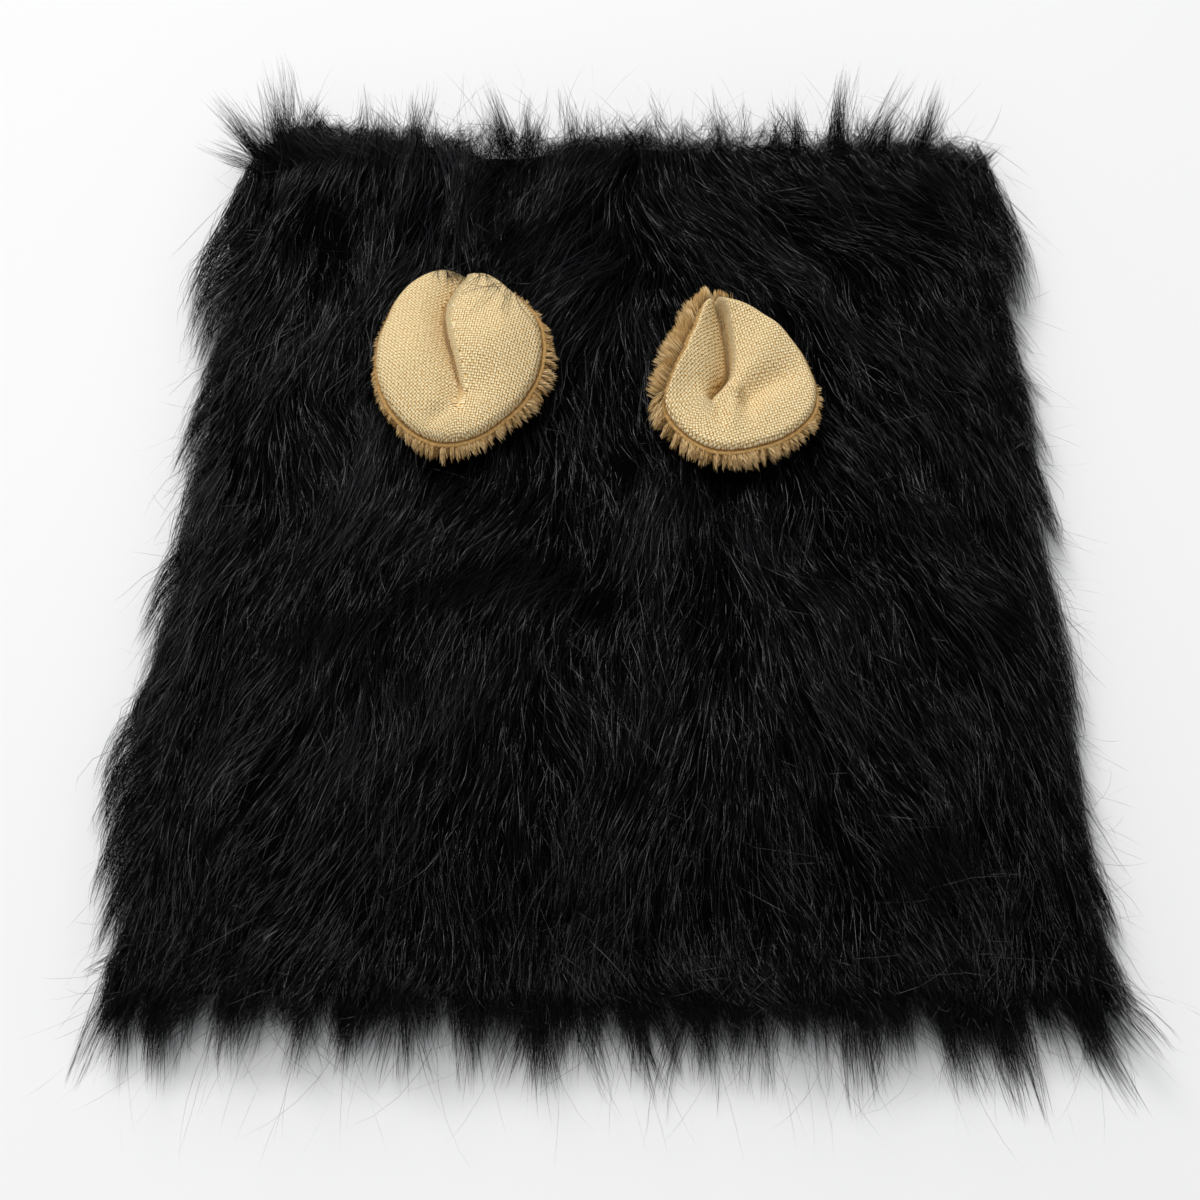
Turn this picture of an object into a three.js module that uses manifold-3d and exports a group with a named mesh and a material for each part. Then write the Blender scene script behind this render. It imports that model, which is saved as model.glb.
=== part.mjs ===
// A hollow faux-fur mane for a pet, lying flat with its front up: a sleeve of backing cloth with its hem
// turned in, the long pile of its upper and under side, and two ears of woven cloth and plush.
// Units are millimetres. +X is to the right, +Y runs from the neck opening to the face opening, +Z is up.
// The finished group has its origin on the surface it lies on, under the middle of the whole.

import * as THREE from 'three';
import { mergeVertices } from 'three/addons/utils/BufferGeometryUtils.js';
import Module from 'manifold-3d';

const wasm = await Module();
wasm.setup();

const { lerp, clamp, degToRad, smoothstep } = THREE.MathUtils;

// Driving dimensions
const GAP = 0.3; // between pieces that lie against each other
const FLOOR_Z = 0;

const MANE = {
  neckY: -168,
  faceY: 214,
  neckHalfWidth: 190, // to the side folds of the backing
  faceHalfWidth: 152,
  neckMiddleX: 4, // the sleeve lies a little askew
  faceMiddleX: 12,
};
const SLEEVE = {
  foldZ: 17.5, // height of the side folds
  halfHeight: 8.5,
  wall: 2,
  sideWall: 3,
  hemWall: 3.8, // the turned-in hem doubles the cloth
  hemDepth: 18,
  reliefShare: 0.15, // the backing follows this much of the pile's folds
};
const PILE = {
  side: 13, // how far the pile stands out past the side folds
  top: 17, // height of the underfur over the backing
  end: 3, // past the ends of the backing
  underEdge: 8, // how far in from the sides the under pile lies flat
};
const MOUTH = { halfWidth: 124, halfHeight: 4.2, reach: 90 }; // kept clear for the neck to go in
const PAST_ENDS = 6; // how far a cutting form runs past what it cuts
const CUT_REACH = 400; // the spaces that split the pile reach past the whole mane
const CLEAR_ABOVE = 40; // the pile leaves this much room over each ear
const STATIONS = 14;
const RING_STEPS = 12; // across each half of a section

// Creases, dips and puffs of the front, each along a line from (x1, y1) to (x2, y2)
const FOLDS = [
  { fold: 'right crease', x1: 84, y1: 12, x2: 196, y2: 28, breadth: 15, rise: -8 },
  { fold: 'left crease', x1: -116, y1: -8, x2: -17, y2: 21, breadth: 14, rise: -4 },
  { fold: 'right shoulder dip', x1: 82, y1: 172, x2: 150, y2: 168, breadth: 13, rise: -4 },
  { fold: 'right neck slope', x1: 40, y1: -140, x2: 150, y2: -138, breadth: 22, rise: -6 },
  { fold: 'left neck slope', x1: -95, y1: -142, x2: -15, y2: -142, breadth: 20, rise: -5 },
  { fold: 'right puff', x1: 100, y1: -50, x2: 140, y2: -60, breadth: 42, rise: 4 },
  { fold: 'left puff', x1: -120, y1: -70, x2: -60, y2: -80, breadth: 40, rise: 3 },
  { fold: 'brow puff', x1: -110, y1: 150, x2: 110, y2: 150, breadth: 36, rise: 3 },
];

// Locks of the upper pile lie in staggered rows from the face end to the neck end
const LOCKS = {
  rows: 7,
  perRow: 7,
  firstY: 196,
  lastY: -118,
  length: 68,
  width: 42,
  thickness: 13,
  stagger: [0.25, 0.75], // where the first lock of an even and an odd row stands
  rootLift: -5, // over the underfur, at the root, halfway and at the tip
  middleLift: 1.5,
  tipLift: 0.5,
};
const LOCK_SIDES = 4;
const LOCK_STEPS = 2;
const LEAN = { left: 38, right: 30 }; // degrees that the pile leans outward at each side
const FRINGE = {
  count: 16,
  length: 62,
  width: 31,
  thickness: 11,
  rootY: -156,
  rootIn: 1, // the outermost locks stand this far in from the side folds
  leanShare: 0.8,
  wobbleShare: 0.7,
  cornerLift: 4, // the roots at the corners lie this far over their tips
  upper: { rootOver: 15, tipOver: 8 }, // heights over the side folds
  lower: { rootZ: 6.5, tipZ: 3 },
};
const SIDE_LOCKS = {
  perSide: 9,
  length: 50,
  width: 32,
  thickness: 12,
  fromFace: 12,
  fromNeck: 22,
  rootOut: 2, // past the side folds
  leanLess: 6, // degrees less than the pile beside them
  upper: { rootOver: 7, tipOver: 3, kind: 5 },
  lower: { rootZ: 8, tipZ: 3, kind: 9 },
};
const BEND = { place: 0.5, along: 0.45, sideFall: 0.4 }; // where a hanging lock's middle lies
const WOBBLE = { length: 10, lean: 9, place: 5 };

// Tufts that stand up past the face end: x along the hem, sideways lean and length of each
const HEM_TUFTS = [
  { x: -146, lean: -16, length: 62, rise: 14 },
  { x: -124, lean: -6, length: 40, rise: 8 },
  { x: -96, lean: 10, length: 34, rise: 6 },
  { x: -64, lean: -8, length: 36, rise: 6 },
  { x: -34, lean: -6, length: 52, rise: 12 },
  { x: -6, lean: 6, length: 32, rise: 5 },
  { x: 24, lean: -4, length: 50, rise: 12 },
  { x: 66, lean: 8, length: 52, rise: 12 },
  { x: 88, lean: 10, length: 48, rise: 10 },
  { x: 112, lean: 4, length: 60, rise: 16 },
  { x: 132, lean: 12, length: 54, rise: 12 },
  { x: 150, lean: 16, length: 50, rise: 8 },
];
const HEM_TUFT = { width: 20, thickness: 9, rootIn: 14, rootDown: 8, leanShare: 0.4, riseShare: 0.7 };

// Ears, each about its own middle: outline rows run round from +X, face is the woven cloth's edge,
// plush is how far the pile of the back stands out past it
const EAR = {
  cloth: 2,
  plushDepth: 8,
  spokes: 24,
  rings: 5,
  edgeDrop: 5, // the plush falls this far from the seam to its own edge
  edgeDepth: 1.5,
  leastPlush: 0.6,
  slopeFrom: -10, // the ear's slope to its sewn end, and the lift of its left edge, run between these
  slopeTo: 44,
  liftFrom: -4,
  liftTo: 26,
  rootShare: 0.8, // where the root meets the ear, on the way from its middle to its edge
  rootWidth: 30,
  rootDepth: 9,
};
const EARS = [
  {
    side: 'left',
    x: -58,
    y: 101,
    rimZ: 50,
    baseDrop: 6, // how much lower the ear is at its sewn end
    dome: 9,
    leftLift: 0,
    pleat: { x1: -2, y1: 44, x2: -3, y2: -2, breadth: 5, depth: 11 },
    dimple: { x: -6, y: -20, breadth: 14, depth: 4 },
    outline: [
      { angle: 0, face: 33, plush: 4.5 },
      { angle: 30, face: 35, plush: 1.5 },
      { angle: 60, face: 37, plush: 1 },
      { angle: 90, face: 44, plush: 1 },
      { angle: 120, face: 45, plush: 1 },
      { angle: 150, face: 38, plush: 1 },
      { angle: 180, face: 36.5, plush: 1 },
      { angle: 210, face: 37, plush: 3.5 },
      { angle: 240, face: 38.5, plush: 6 },
      { angle: 270, face: 37.5, plush: 6.5 },
      { angle: 300, face: 31.5, plush: 5 },
      { angle: 330, face: 30.5, plush: 4.5 },
    ],
  },
  {
    side: 'right',
    x: 57,
    y: 92,
    rimZ: 52,
    baseDrop: 4,
    dome: 7,
    leftLift: 9,
    pleat: { x1: -2, y1: 36, x2: 1, y2: -6, breadth: 6, depth: 13 },
    dimple: { x: -3, y: -10, breadth: 9, depth: 6 },
    outline: [
      { angle: 0, face: 33, plush: 1 },
      { angle: 30, face: 29.5, plush: 1 },
      { angle: 60, face: 30.5, plush: 1 },
      { angle: 90, face: 37, plush: 2 },
      { angle: 120, face: 32, plush: 10 },
      { angle: 150, face: 23, plush: 11 },
      { angle: 180, face: 24, plush: 10.5 },
      { angle: 210, face: 31.5, plush: 8 },
      { angle: 240, face: 34.5, plush: 7 },
      { angle: 270, face: 36.5, plush: 7 },
      { angle: 300, face: 35, plush: 6 },
      { angle: 330, face: 37.5, plush: 4.5 },
    ],
  },
];

const FUR_BLACK = new THREE.MeshStandardMaterial({ color: 0x121214, roughness: 0.62, metalness: 0 });
const BACKING_BLACK = new THREE.MeshStandardMaterial({ color: 0x1a1a1c, roughness: 0.9, metalness: 0 });
const WOVEN_CREAM = new THREE.MeshStandardMaterial({ color: 0xddc79c, roughness: 0.88, metalness: 0 });
const PLUSH_TAN = new THREE.MeshStandardMaterial({ color: 0xbd975f, roughness: 0.85, metalness: 0 });

const UP = new THREE.Vector3(0, 0, 1);

// Solids and meshes
function solidFrom(geometry) {
  const bare = geometry.clone();
  bare.deleteAttribute('normal');
  bare.deleteAttribute('uv');
  const merged = mergeVertices(bare, 1e-4);
  return new wasm.Manifold(new wasm.Mesh({
    numProp: 3,
    vertProperties: new Float32Array(merged.attributes.position.array),
    triVerts: new Uint32Array(merged.index.array),
  }));
}

function meshFrom(name, solid, material) {
  const { vertProperties, triVerts } = solid.getMesh();
  const geometry = new THREE.BufferGeometry();
  geometry.setAttribute('position', new THREE.BufferAttribute(vertProperties, 3));
  geometry.setIndex(new THREE.BufferAttribute(triVerts, 1));
  geometry.computeVertexNormals();
  const mesh = new THREE.Mesh(geometry, material);
  mesh.name = name;
  return mesh;
}

function boxSolid(low, high) {
  const size = new THREE.Vector3().subVectors(high, low);
  const box = new THREE.BoxGeometry(size.x, size.y, size.z);
  box.translate(low.x + size.x / 2, low.y + size.y / 2, low.z + size.z / 2);
  return solidFrom(box);
}

// A closed solid through rings of points, all of one length, capped flat at both ends
function loft(rings) {
  const count = rings[0].length;
  const points = rings.flat();
  const triangles = [];
  for (let r = 0; r + 1 < rings.length; r += 1) {
    for (let i = 0; i < count; i += 1) {
      const a = r * count + i;
      const b = r * count + ((i + 1) % count);
      triangles.push(a, b + count, b, a, a + count, b + count);
    }
  }
  const lastRing = (rings.length - 1) * count;
  for (const [start, turn] of [[0, 1], [lastRing, -1]]) {
    const ring = points.slice(start, start + count);
    const middle = ring.reduce((sum, p) => sum.add(p), new THREE.Vector3()).divideScalar(count);
    const hub = points.push(middle) - 1;
    for (let i = 0; i < count; i += 1) {
      const a = start + i;
      const b = start + ((i + 1) % count);
      triangles.push(...(turn > 0 ? [a, b, hub] : [b, a, hub]));
    }
  }
  const geometry = new THREE.BufferGeometry().setFromPoints(points);
  geometry.setIndex(triangles);
  return solidFrom(geometry);
}

// The lie of the mane
const along = (y) => (y - MANE.neckY) / (MANE.faceY - MANE.neckY);
const halfWidthAt = (y) => lerp(MANE.neckHalfWidth, MANE.faceHalfWidth, along(y));
const middleAt = (y) => lerp(MANE.neckMiddleX, MANE.faceMiddleX, along(y));

function distanceToLine(x, y, { x1, y1, x2, y2 }) {
  const length = (x2 - x1) ** 2 + (y2 - y1) ** 2;
  const t = clamp(((x - x1) * (x2 - x1) + (y - y1) * (y2 - y1)) / length, 0, 1);
  return Math.hypot(x - lerp(x1, x2, t), y - lerp(y1, y2, t));
}

// How much of a fold is left at a distance from its line
const fade = (distance, breadth) => Math.exp(-((distance / breadth) ** 2));

function relief(x, y) {
  return FOLDS.reduce((sum, fold) => sum + fold.rise * fade(distanceToLine(x, y, fold), fold.breadth), 0);
}

// Height over the side folds of a section that is round at its sides; u runs from -1 to 1 across it
const sleeveArch = (u) => Math.sqrt(Math.max(0, 1 - u * u));
const pileArch = (u) => Math.max(0, 1 - Math.abs(u) ** 3) ** 0.6;

// A section across the mane: over the top from right to left, then back underneath
function section(y, halfWidth, topAt, bottomAt) {
  const points = [];
  for (let i = 0; i < 2 * RING_STEPS; i += 1) {
    const u = Math.cos((Math.PI * i) / RING_STEPS);
    const x = middleAt(y) + u * halfWidth;
    points.push(new THREE.Vector3(x, y, (i < RING_STEPS ? topAt : bottomAt)(u, x)));
  }
  return points;
}

function stationsFrom(lowY, highY, count) {
  return Array.from({ length: count + 1 }, (_, i) => lerp(lowY, highY, i / count));
}

// The outer form of the sleeve, which a clearance can grow and run past its ends
function sleeveForm(grow = 0) {
  const height = SLEEVE.halfHeight + grow;
  const stations = stationsFrom(MANE.neckY, MANE.faceY, STATIONS);
  if (grow > 0) {
    stations.unshift(MANE.neckY - PAST_ENDS);
    stations.push(MANE.faceY + PAST_ENDS);
  }
  return loft(stations.map((y) => section(
    y,
    halfWidthAt(y) + grow,
    (u, x) => SLEEVE.foldZ + sleeveArch(u) * (height + SLEEVE.reliefShare * relief(x, y)),
    (u) => SLEEVE.foldZ - sleeveArch(u) * height,
  )));
}

// The hollow: the turned-in hem leaves less room at the face end
function hollowForm() {
  const hemY = MANE.faceY - SLEEVE.hemDepth;
  const stations = [MANE.neckY - PAST_ENDS, ...stationsFrom(MANE.neckY, hemY, STATIONS - 2),
    hemY + 1, MANE.faceY, MANE.faceY + PAST_ENDS];
  return loft(stations.map((y) => {
    const wall = y > hemY ? SLEEVE.hemWall : SLEEVE.wall;
    const height = SLEEVE.halfHeight - wall;
    return section(
      y,
      halfWidthAt(y) - SLEEVE.sideWall,
      (u, x) => SLEEVE.foldZ + sleeveArch(u) * (height + SLEEVE.reliefShare * relief(x, y)),
      (u) => SLEEVE.foldZ - sleeveArch(u) * height,
    );
  }));
}

// Height of the underfur's top at a point
function pileTop(x, y) {
  const u = clamp((x - middleAt(y)) / (halfWidthAt(y) + PILE.side), -1, 1);
  return SLEEVE.foldZ + pileArch(u) * (SLEEVE.halfHeight + PILE.top + relief(x, y));
}

function pileForm() {
  return loft(stationsFrom(MANE.neckY - PILE.end, MANE.faceY + PILE.end, STATIONS).map((y) => {
    const halfWidth = halfWidthAt(y) + PILE.side;
    const flatShare = 1 - PILE.underEdge / halfWidth;
    return section(
      y,
      halfWidth,
      (u, x) => pileTop(x, y),
      (u) => {
        const turn = smoothstep(Math.abs(u), flatShare, 1);
        return lerp(FLOOR_Z, SLEEVE.foldZ, turn);
      },
    );
  }));
}

// A repeatable number from -1 to 1 for each lock
function wobble(index, kind) {
  const s = Math.sin(index * 12.9898 + kind * 78.233) * 43758.5453;
  return 2 * (s - Math.floor(s)) - 1;
}

// Degrees that the pile leans from straight down the mane at a point
function leanAt(x, y) {
  const u = (x - middleAt(y)) / halfWidthAt(y);
  return u < 0 ? LEAN.left * u : LEAN.right * u;
}

// A lock of fur: a flat tapered spike along a curve from its root to its tip
function lock({ root, middle, tip, width, thickness }) {
  const spine = new THREE.QuadraticBezierCurve3(root, middle, tip);
  const cone = new THREE.ConeGeometry(0.5, 1, LOCK_SIDES, LOCK_STEPS);
  const position = cone.attributes.position;
  for (let i = 0; i < position.count; i += 1) {
    const t = clamp(position.getY(i) + 0.5, 0, 1);
    const fullness = 1 + t;
    const ahead = spine.getTangent(t);
    const across = new THREE.Vector3().crossVectors(ahead, UP).normalize();
    const above = new THREE.Vector3().crossVectors(across, ahead);
    const point = spine.getPoint(t)
      .addScaledVector(across, position.getX(i) * fullness * width)
      .addScaledVector(above, position.getZ(i) * fullness * thickness);
    position.setXYZ(i, point.x, point.y, point.z);
  }
  return solidFrom(cone);
}

// Locks that lie over the upper pile in rows
function surfaceLocks() {
  const locks = [];
  for (let row = 0; row < LOCKS.rows; row += 1) {
    for (let place = 0; place < LOCKS.perRow; place += 1) {
      const index = row * LOCKS.perRow + place;
      const share = ((place + LOCKS.stagger[row % 2]) / LOCKS.perRow) * 2 - 1;
      const y = lerp(LOCKS.firstY, LOCKS.lastY, row / (LOCKS.rows - 1)) + WOBBLE.place * wobble(index, 1);
      const x = middleAt(y) + share * halfWidthAt(y);
      const lean = degToRad(leanAt(x, y) + WOBBLE.lean * wobble(index, 2));
      const length = LOCKS.length + WOBBLE.length * wobble(index, 3);
      const at = (run, lift) => {
        const px = x + Math.sin(lean) * length * run;
        const py = y - Math.cos(lean) * length * run;
        return new THREE.Vector3(px, py, pileTop(px, py) + lift);
      };
      locks.push(lock({
        root: at(0, LOCKS.rootLift),
        middle: at(0.5, LOCKS.middleLift),
        tip: at(1, LOCKS.tipLift),
        ...LOCKS,
      }));
    }
  }
  return locks;
}

// The fringe past the neck end, from roots at one height to tips at another
function fringe(rootZ, tipZ) {
  const locks = [];
  for (let i = 0; i < FRINGE.count; i += 1) {
    const share = (i / (FRINGE.count - 1)) * 2 - 1;
    const x = middleAt(FRINGE.rootY) + share * (halfWidthAt(FRINGE.rootY) - FRINGE.rootIn);
    const lean = degToRad(leanAt(x, FRINGE.rootY) * FRINGE.leanShare + WOBBLE.lean * wobble(i, rootZ));
    const length = FRINGE.length + WOBBLE.length * FRINGE.wobbleShare * wobble(i, tipZ);
    const dx = Math.sin(lean) * length;
    const dy = Math.cos(lean) * length;
    const edge = 1 - Math.abs(share) ** 6;
    const z = lerp(tipZ + FRINGE.cornerLift, rootZ, edge);
    locks.push(lock({
      root: new THREE.Vector3(x, FRINGE.rootY, z),
      middle: new THREE.Vector3(
        x + dx * BEND.along,
        FRINGE.rootY - dy * BEND.place,
        lerp(z, tipZ, BEND.along),
      ),
      tip: new THREE.Vector3(x + dx, FRINGE.rootY - dy, tipZ),
      ...FRINGE,
    }));
  }
  return locks;
}

// Locks that lean out past the side folds
function sideLocks(rootZ, tipZ, kind) {
  const locks = [];
  for (const side of [-1, 1]) {
    for (let i = 0; i < SIDE_LOCKS.perSide; i += 1) {
      const step = i / (SIDE_LOCKS.perSide - 1);
      const y = lerp(MANE.faceY - SIDE_LOCKS.fromFace, MANE.neckY + SIDE_LOCKS.fromNeck, step);
      const x = middleAt(y) + side * (halfWidthAt(y) + SIDE_LOCKS.rootOut);
      const outward = (side < 0 ? LEAN.left : LEAN.right) - SIDE_LOCKS.leanLess;
      const lean = degToRad(outward + WOBBLE.lean * wobble(i + 20 * side, kind));
      const length = SIDE_LOCKS.length + WOBBLE.length * wobble(i + 40 * side, kind);
      const dx = side * Math.sin(lean) * length;
      const dy = Math.cos(lean) * length;
      locks.push(lock({
        root: new THREE.Vector3(x, y, rootZ),
        middle: new THREE.Vector3(x + dx * BEND.place, y - dy * BEND.place, lerp(rootZ, tipZ, BEND.sideFall)),
        tip: new THREE.Vector3(x + dx, y - dy, tipZ),
        ...SIDE_LOCKS,
      }));
    }
  }
  return locks;
}

// Tufts that stand out past the hem at the face end
function hemTufts() {
  return HEM_TUFTS.map(({ x, lean, length, rise }) => {
    const rootY = MANE.faceY - HEM_TUFT.rootIn;
    const rootZ = pileTop(x, rootY) - HEM_TUFT.rootDown;
    const middleZ = rootZ + rise * HEM_TUFT.riseShare;
    return lock({
      root: new THREE.Vector3(x, rootY, rootZ),
      middle: new THREE.Vector3(x + lean * HEM_TUFT.leanShare, rootY + length * BEND.place, middleZ),
      tip: new THREE.Vector3(x + lean, rootY + length, rootZ + rise),
      ...HEM_TUFT,
    });
  });
}

// Ears
function outlineAt(ear, angle, column) {
  const rows = ear.outline;
  const place = (((angle / (2 * Math.PI)) % 1) + 1) % 1 * rows.length;
  const first = Math.floor(place);
  const at = (i) => rows[(i + rows.length) % rows.length][column];
  const t = place - first;
  const [a, b, c, d] = [at(first - 1), at(first), at(first + 1), at(first + 2)];
  return b + 0.5 * t * (c - a + t * (2 * a - 5 * b + 4 * c - d + t * (3 * (b - c) + d - a)));
}

// Height of the woven cloth's upper side; share runs from 0 in the middle of the ear to 1 at its edge
function earHeight(ear, x, y, share) {
  const slope = ear.baseDrop * smoothstep(y, EAR.slopeFrom, EAR.slopeTo);
  const pleat = ear.pleat.depth * fade(distanceToLine(x, y, ear.pleat), ear.pleat.breadth);
  const fromDimple = Math.hypot(x - ear.dimple.x, y - ear.dimple.y);
  const dimple = ear.dimple.depth * fade(fromDimple, ear.dimple.breadth);
  const lift = ear.leftLift * smoothstep(-x, EAR.liftFrom, EAR.liftTo);
  return ear.rimZ - slope + ear.dome * (1 - share ** 2) + lift - pleat - dimple;
}

// A solid between an upper and a lower height over a ring-and-spoke pattern
function earLayer(ear, reachAt, topAt, bottomAt, rings) {
  const points = [];
  const triangles = [];
  const layer = (heightAt) => {
    const hub = points.push(new THREE.Vector3(ear.x, ear.y, heightAt(0, 0, 0, 0))) - 1;
    for (let ring = 1; ring <= rings; ring += 1) {
      for (let spoke = 0; spoke < EAR.spokes; spoke += 1) {
        const angle = (2 * Math.PI * spoke) / EAR.spokes;
        const reach = reachAt(angle, ring / rings);
        const x = Math.cos(angle) * reach;
        const y = Math.sin(angle) * reach;
        points.push(new THREE.Vector3(ear.x + x, ear.y + y, heightAt(x, y, ring / rings, angle)));
      }
    }
    return hub;
  };
  const skin = (hub, turn) => {
    const face = (a, b, c) => triangles.push(...(turn > 0 ? [a, b, c] : [a, c, b]));
    for (let spoke = 0; spoke < EAR.spokes; spoke += 1) {
      const next = (spoke + 1) % EAR.spokes;
      face(hub, hub + 1 + spoke, hub + 1 + next);
      for (let ring = 1; ring < rings; ring += 1) {
        const inner = hub + 1 + (ring - 1) * EAR.spokes;
        const outer = inner + EAR.spokes;
        face(inner + spoke, outer + spoke, outer + next);
        face(inner + spoke, outer + next, inner + next);
      }
    }
  };
  const top = layer(topAt);
  const bottom = layer(bottomAt);
  skin(top, 1);
  skin(bottom, -1);
  const topEdge = top + 1 + (rings - 1) * EAR.spokes;
  const bottomEdge = bottom + 1 + (rings - 1) * EAR.spokes;
  for (let spoke = 0; spoke < EAR.spokes; spoke += 1) {
    const next = (spoke + 1) % EAR.spokes;
    triangles.push(bottomEdge + spoke, bottomEdge + next, topEdge + next);
    triangles.push(bottomEdge + spoke, topEdge + next, topEdge + spoke);
  }
  const geometry = new THREE.BufferGeometry().setFromPoints(points);
  geometry.setIndex(triangles);
  return solidFrom(geometry);
}

function earFace(ear) {
  return earLayer(
    ear,
    (angle, share) => share * outlineAt(ear, angle, 'face'),
    (x, y, share) => earHeight(ear, x, y, share),
    (x, y, share) => earHeight(ear, x, y, share) - EAR.cloth,
    EAR.rings,
  );
}

// The plush layer: it follows the cloth above it and rolls over past the seam; grow and clearTop make
// the room that the pile leaves round it
function earPlush(ear, grow = 0, clearTop = 0) {
  const rings = EAR.rings + 2;
  const seam = EAR.rings / rings;
  const reachAt = (angle, share) => {
    const cloth = outlineAt(ear, angle, 'face');
    const edge = cloth + Math.max(outlineAt(ear, angle, 'plush'), EAR.leastPlush) + grow;
    return share <= seam ? (share / seam) * cloth : lerp(cloth, edge, (share - seam) / (1 - seam));
  };
  const clothUnderside = (x, y, share, angle) => {
    const past = Math.max(0, (share - seam) / (1 - seam));
    const cloth = outlineAt(ear, angle, 'face');
    const inside = Math.min(1, cloth / Math.max(1, Math.hypot(x, y)));
    const drop = EAR.edgeDrop * past ** 1.5;
    return earHeight(ear, x * inside, y * inside, Math.min(1, share / seam)) - EAR.cloth - GAP - drop;
  };
  return earLayer(
    ear,
    reachAt,
    (x, y, share, angle) => clothUnderside(x, y, share, angle) + clearTop,
    (x, y, share, angle) => {
      const past = Math.max(0, (share - seam) / (1 - seam));
      const depth = lerp(EAR.plushDepth, EAR.edgeDepth, past ** 2);
      return clothUnderside(x, y, share, angle) - depth - grow;
    },
    rings,
  );
}

// The pinched end of the ear that is sewn down to the backing
function earRoot(ear, grow = 0) {
  const y = ear.pleat.y1 - EAR.rootDepth;
  const insideEar = earHeight(ear, 0, y, EAR.rootShare) - EAR.cloth - EAR.plushDepth / 2;
  const halfWidth = EAR.rootWidth / 2 + grow;
  const halfDepth = EAR.rootDepth / 2 + grow;
  return boxSolid(
    new THREE.Vector3(ear.x - halfWidth, ear.y + y - halfDepth, SLEEVE.foldZ),
    new THREE.Vector3(ear.x + halfWidth, ear.y + y + halfDepth, insideEar),
  );
}

// Assembly
const sleeveRoom = sleeveForm(GAP);
const mouthRoom = boxSolid(
  new THREE.Vector3(-MOUTH.halfWidth, MANE.neckY - MOUTH.reach, SLEEVE.foldZ - MOUTH.halfHeight),
  new THREE.Vector3(MOUTH.halfWidth, MANE.faceY + MOUTH.reach, SLEEVE.foldZ + MOUTH.halfHeight),
);
const upperSpace = boxSolid(
  new THREE.Vector3(-CUT_REACH, -CUT_REACH, SLEEVE.foldZ + GAP / 2),
  new THREE.Vector3(CUT_REACH, CUT_REACH, CUT_REACH),
);
const lowerSpace = boxSolid(
  new THREE.Vector3(-CUT_REACH, -CUT_REACH, FLOOR_Z),
  new THREE.Vector3(CUT_REACH, CUT_REACH, SLEEVE.foldZ - GAP / 2),
);
const earRoom = EARS.map((ear) => earPlush(ear, GAP, CLEAR_ABOVE).add(earRoot(ear, GAP)))
  .reduce((sum, solid) => sum.add(solid));

function fused(form, locks) {
  return locks.reduce((sum, solid) => sum.add(solid), form);
}

// A cut can leave the tip of a lock loose, so only the main body is kept
function mainBody(solid) {
  return solid.decompose().reduce((best, body) => (body.volume() > best.volume() ? body : best));
}

function maneSleeve() {
  return sleeveForm().subtract(hollowForm());
}

function furFront() {
  const { upper } = SIDE_LOCKS;
  const locks = [
    ...surfaceLocks(),
    ...fringe(SLEEVE.foldZ + FRINGE.upper.rootOver, SLEEVE.foldZ + FRINGE.upper.tipOver),
    ...sideLocks(SLEEVE.foldZ + upper.rootOver, SLEEVE.foldZ + upper.tipOver, upper.kind),
    ...hemTufts(),
  ];
  return mainBody(fused(pileForm(), locks).intersect(upperSpace)
    .subtract(sleeveRoom).subtract(mouthRoom).subtract(earRoom));
}

function furBack() {
  const { lower } = SIDE_LOCKS;
  const locks = [
    ...fringe(FRINGE.lower.rootZ, FRINGE.lower.tipZ),
    ...sideLocks(lower.rootZ, lower.tipZ, lower.kind),
  ];
  return mainBody(fused(pileForm(), locks).intersect(lowerSpace).subtract(sleeveRoom).subtract(mouthRoom));
}

const mane = new THREE.Group();
mane.add(meshFrom('mane_sleeve', maneSleeve(), BACKING_BLACK));
mane.add(meshFrom('mane_fur_front', furFront(), FUR_BLACK));
mane.add(meshFrom('mane_fur_back', furBack(), FUR_BLACK));
for (const ear of EARS) {
  const plush = earPlush(ear).add(earRoot(ear)).subtract(sleeveRoom);
  mane.add(meshFrom(`ear_${ear.side}_face`, earFace(ear), WOVEN_CREAM));
  mane.add(meshFrom(`ear_${ear.side}_back`, plush, PLUSH_TAN));
}

const extent = new THREE.Box3().setFromObject(mane);
const centre = extent.getCenter(new THREE.Vector3());
mane.position.set(-centre.x, -centre.y, -extent.min.z);

const root = new THREE.Group();
root.add(mane);

export default root;
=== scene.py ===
"""A pet's faux-fur mane, lying flat with its front up: strands of long black pile over the packed
sleeve, and two ears of woven cloth with a plush back. Lengths are millimetres in the mane's own frame,
in which the sleeve runs from NECK_Y to FACE_Y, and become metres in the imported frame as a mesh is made."""

import math

import bpy
import numpy as np
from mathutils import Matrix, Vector


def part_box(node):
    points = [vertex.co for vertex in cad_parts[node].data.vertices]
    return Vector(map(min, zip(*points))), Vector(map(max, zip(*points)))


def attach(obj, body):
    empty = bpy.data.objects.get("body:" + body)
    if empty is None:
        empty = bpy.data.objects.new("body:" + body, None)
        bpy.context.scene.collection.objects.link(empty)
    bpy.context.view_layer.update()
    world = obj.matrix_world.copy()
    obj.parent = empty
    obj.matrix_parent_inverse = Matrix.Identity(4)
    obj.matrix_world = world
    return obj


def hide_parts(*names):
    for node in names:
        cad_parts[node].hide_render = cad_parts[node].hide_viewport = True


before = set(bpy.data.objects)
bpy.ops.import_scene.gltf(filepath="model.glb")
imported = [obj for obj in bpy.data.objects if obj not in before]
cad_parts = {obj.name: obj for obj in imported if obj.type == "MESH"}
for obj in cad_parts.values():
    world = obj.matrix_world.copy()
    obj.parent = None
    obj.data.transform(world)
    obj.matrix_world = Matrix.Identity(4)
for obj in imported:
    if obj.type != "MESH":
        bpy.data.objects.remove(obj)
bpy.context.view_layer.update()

MM = 0.001
SEED = 7


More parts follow.
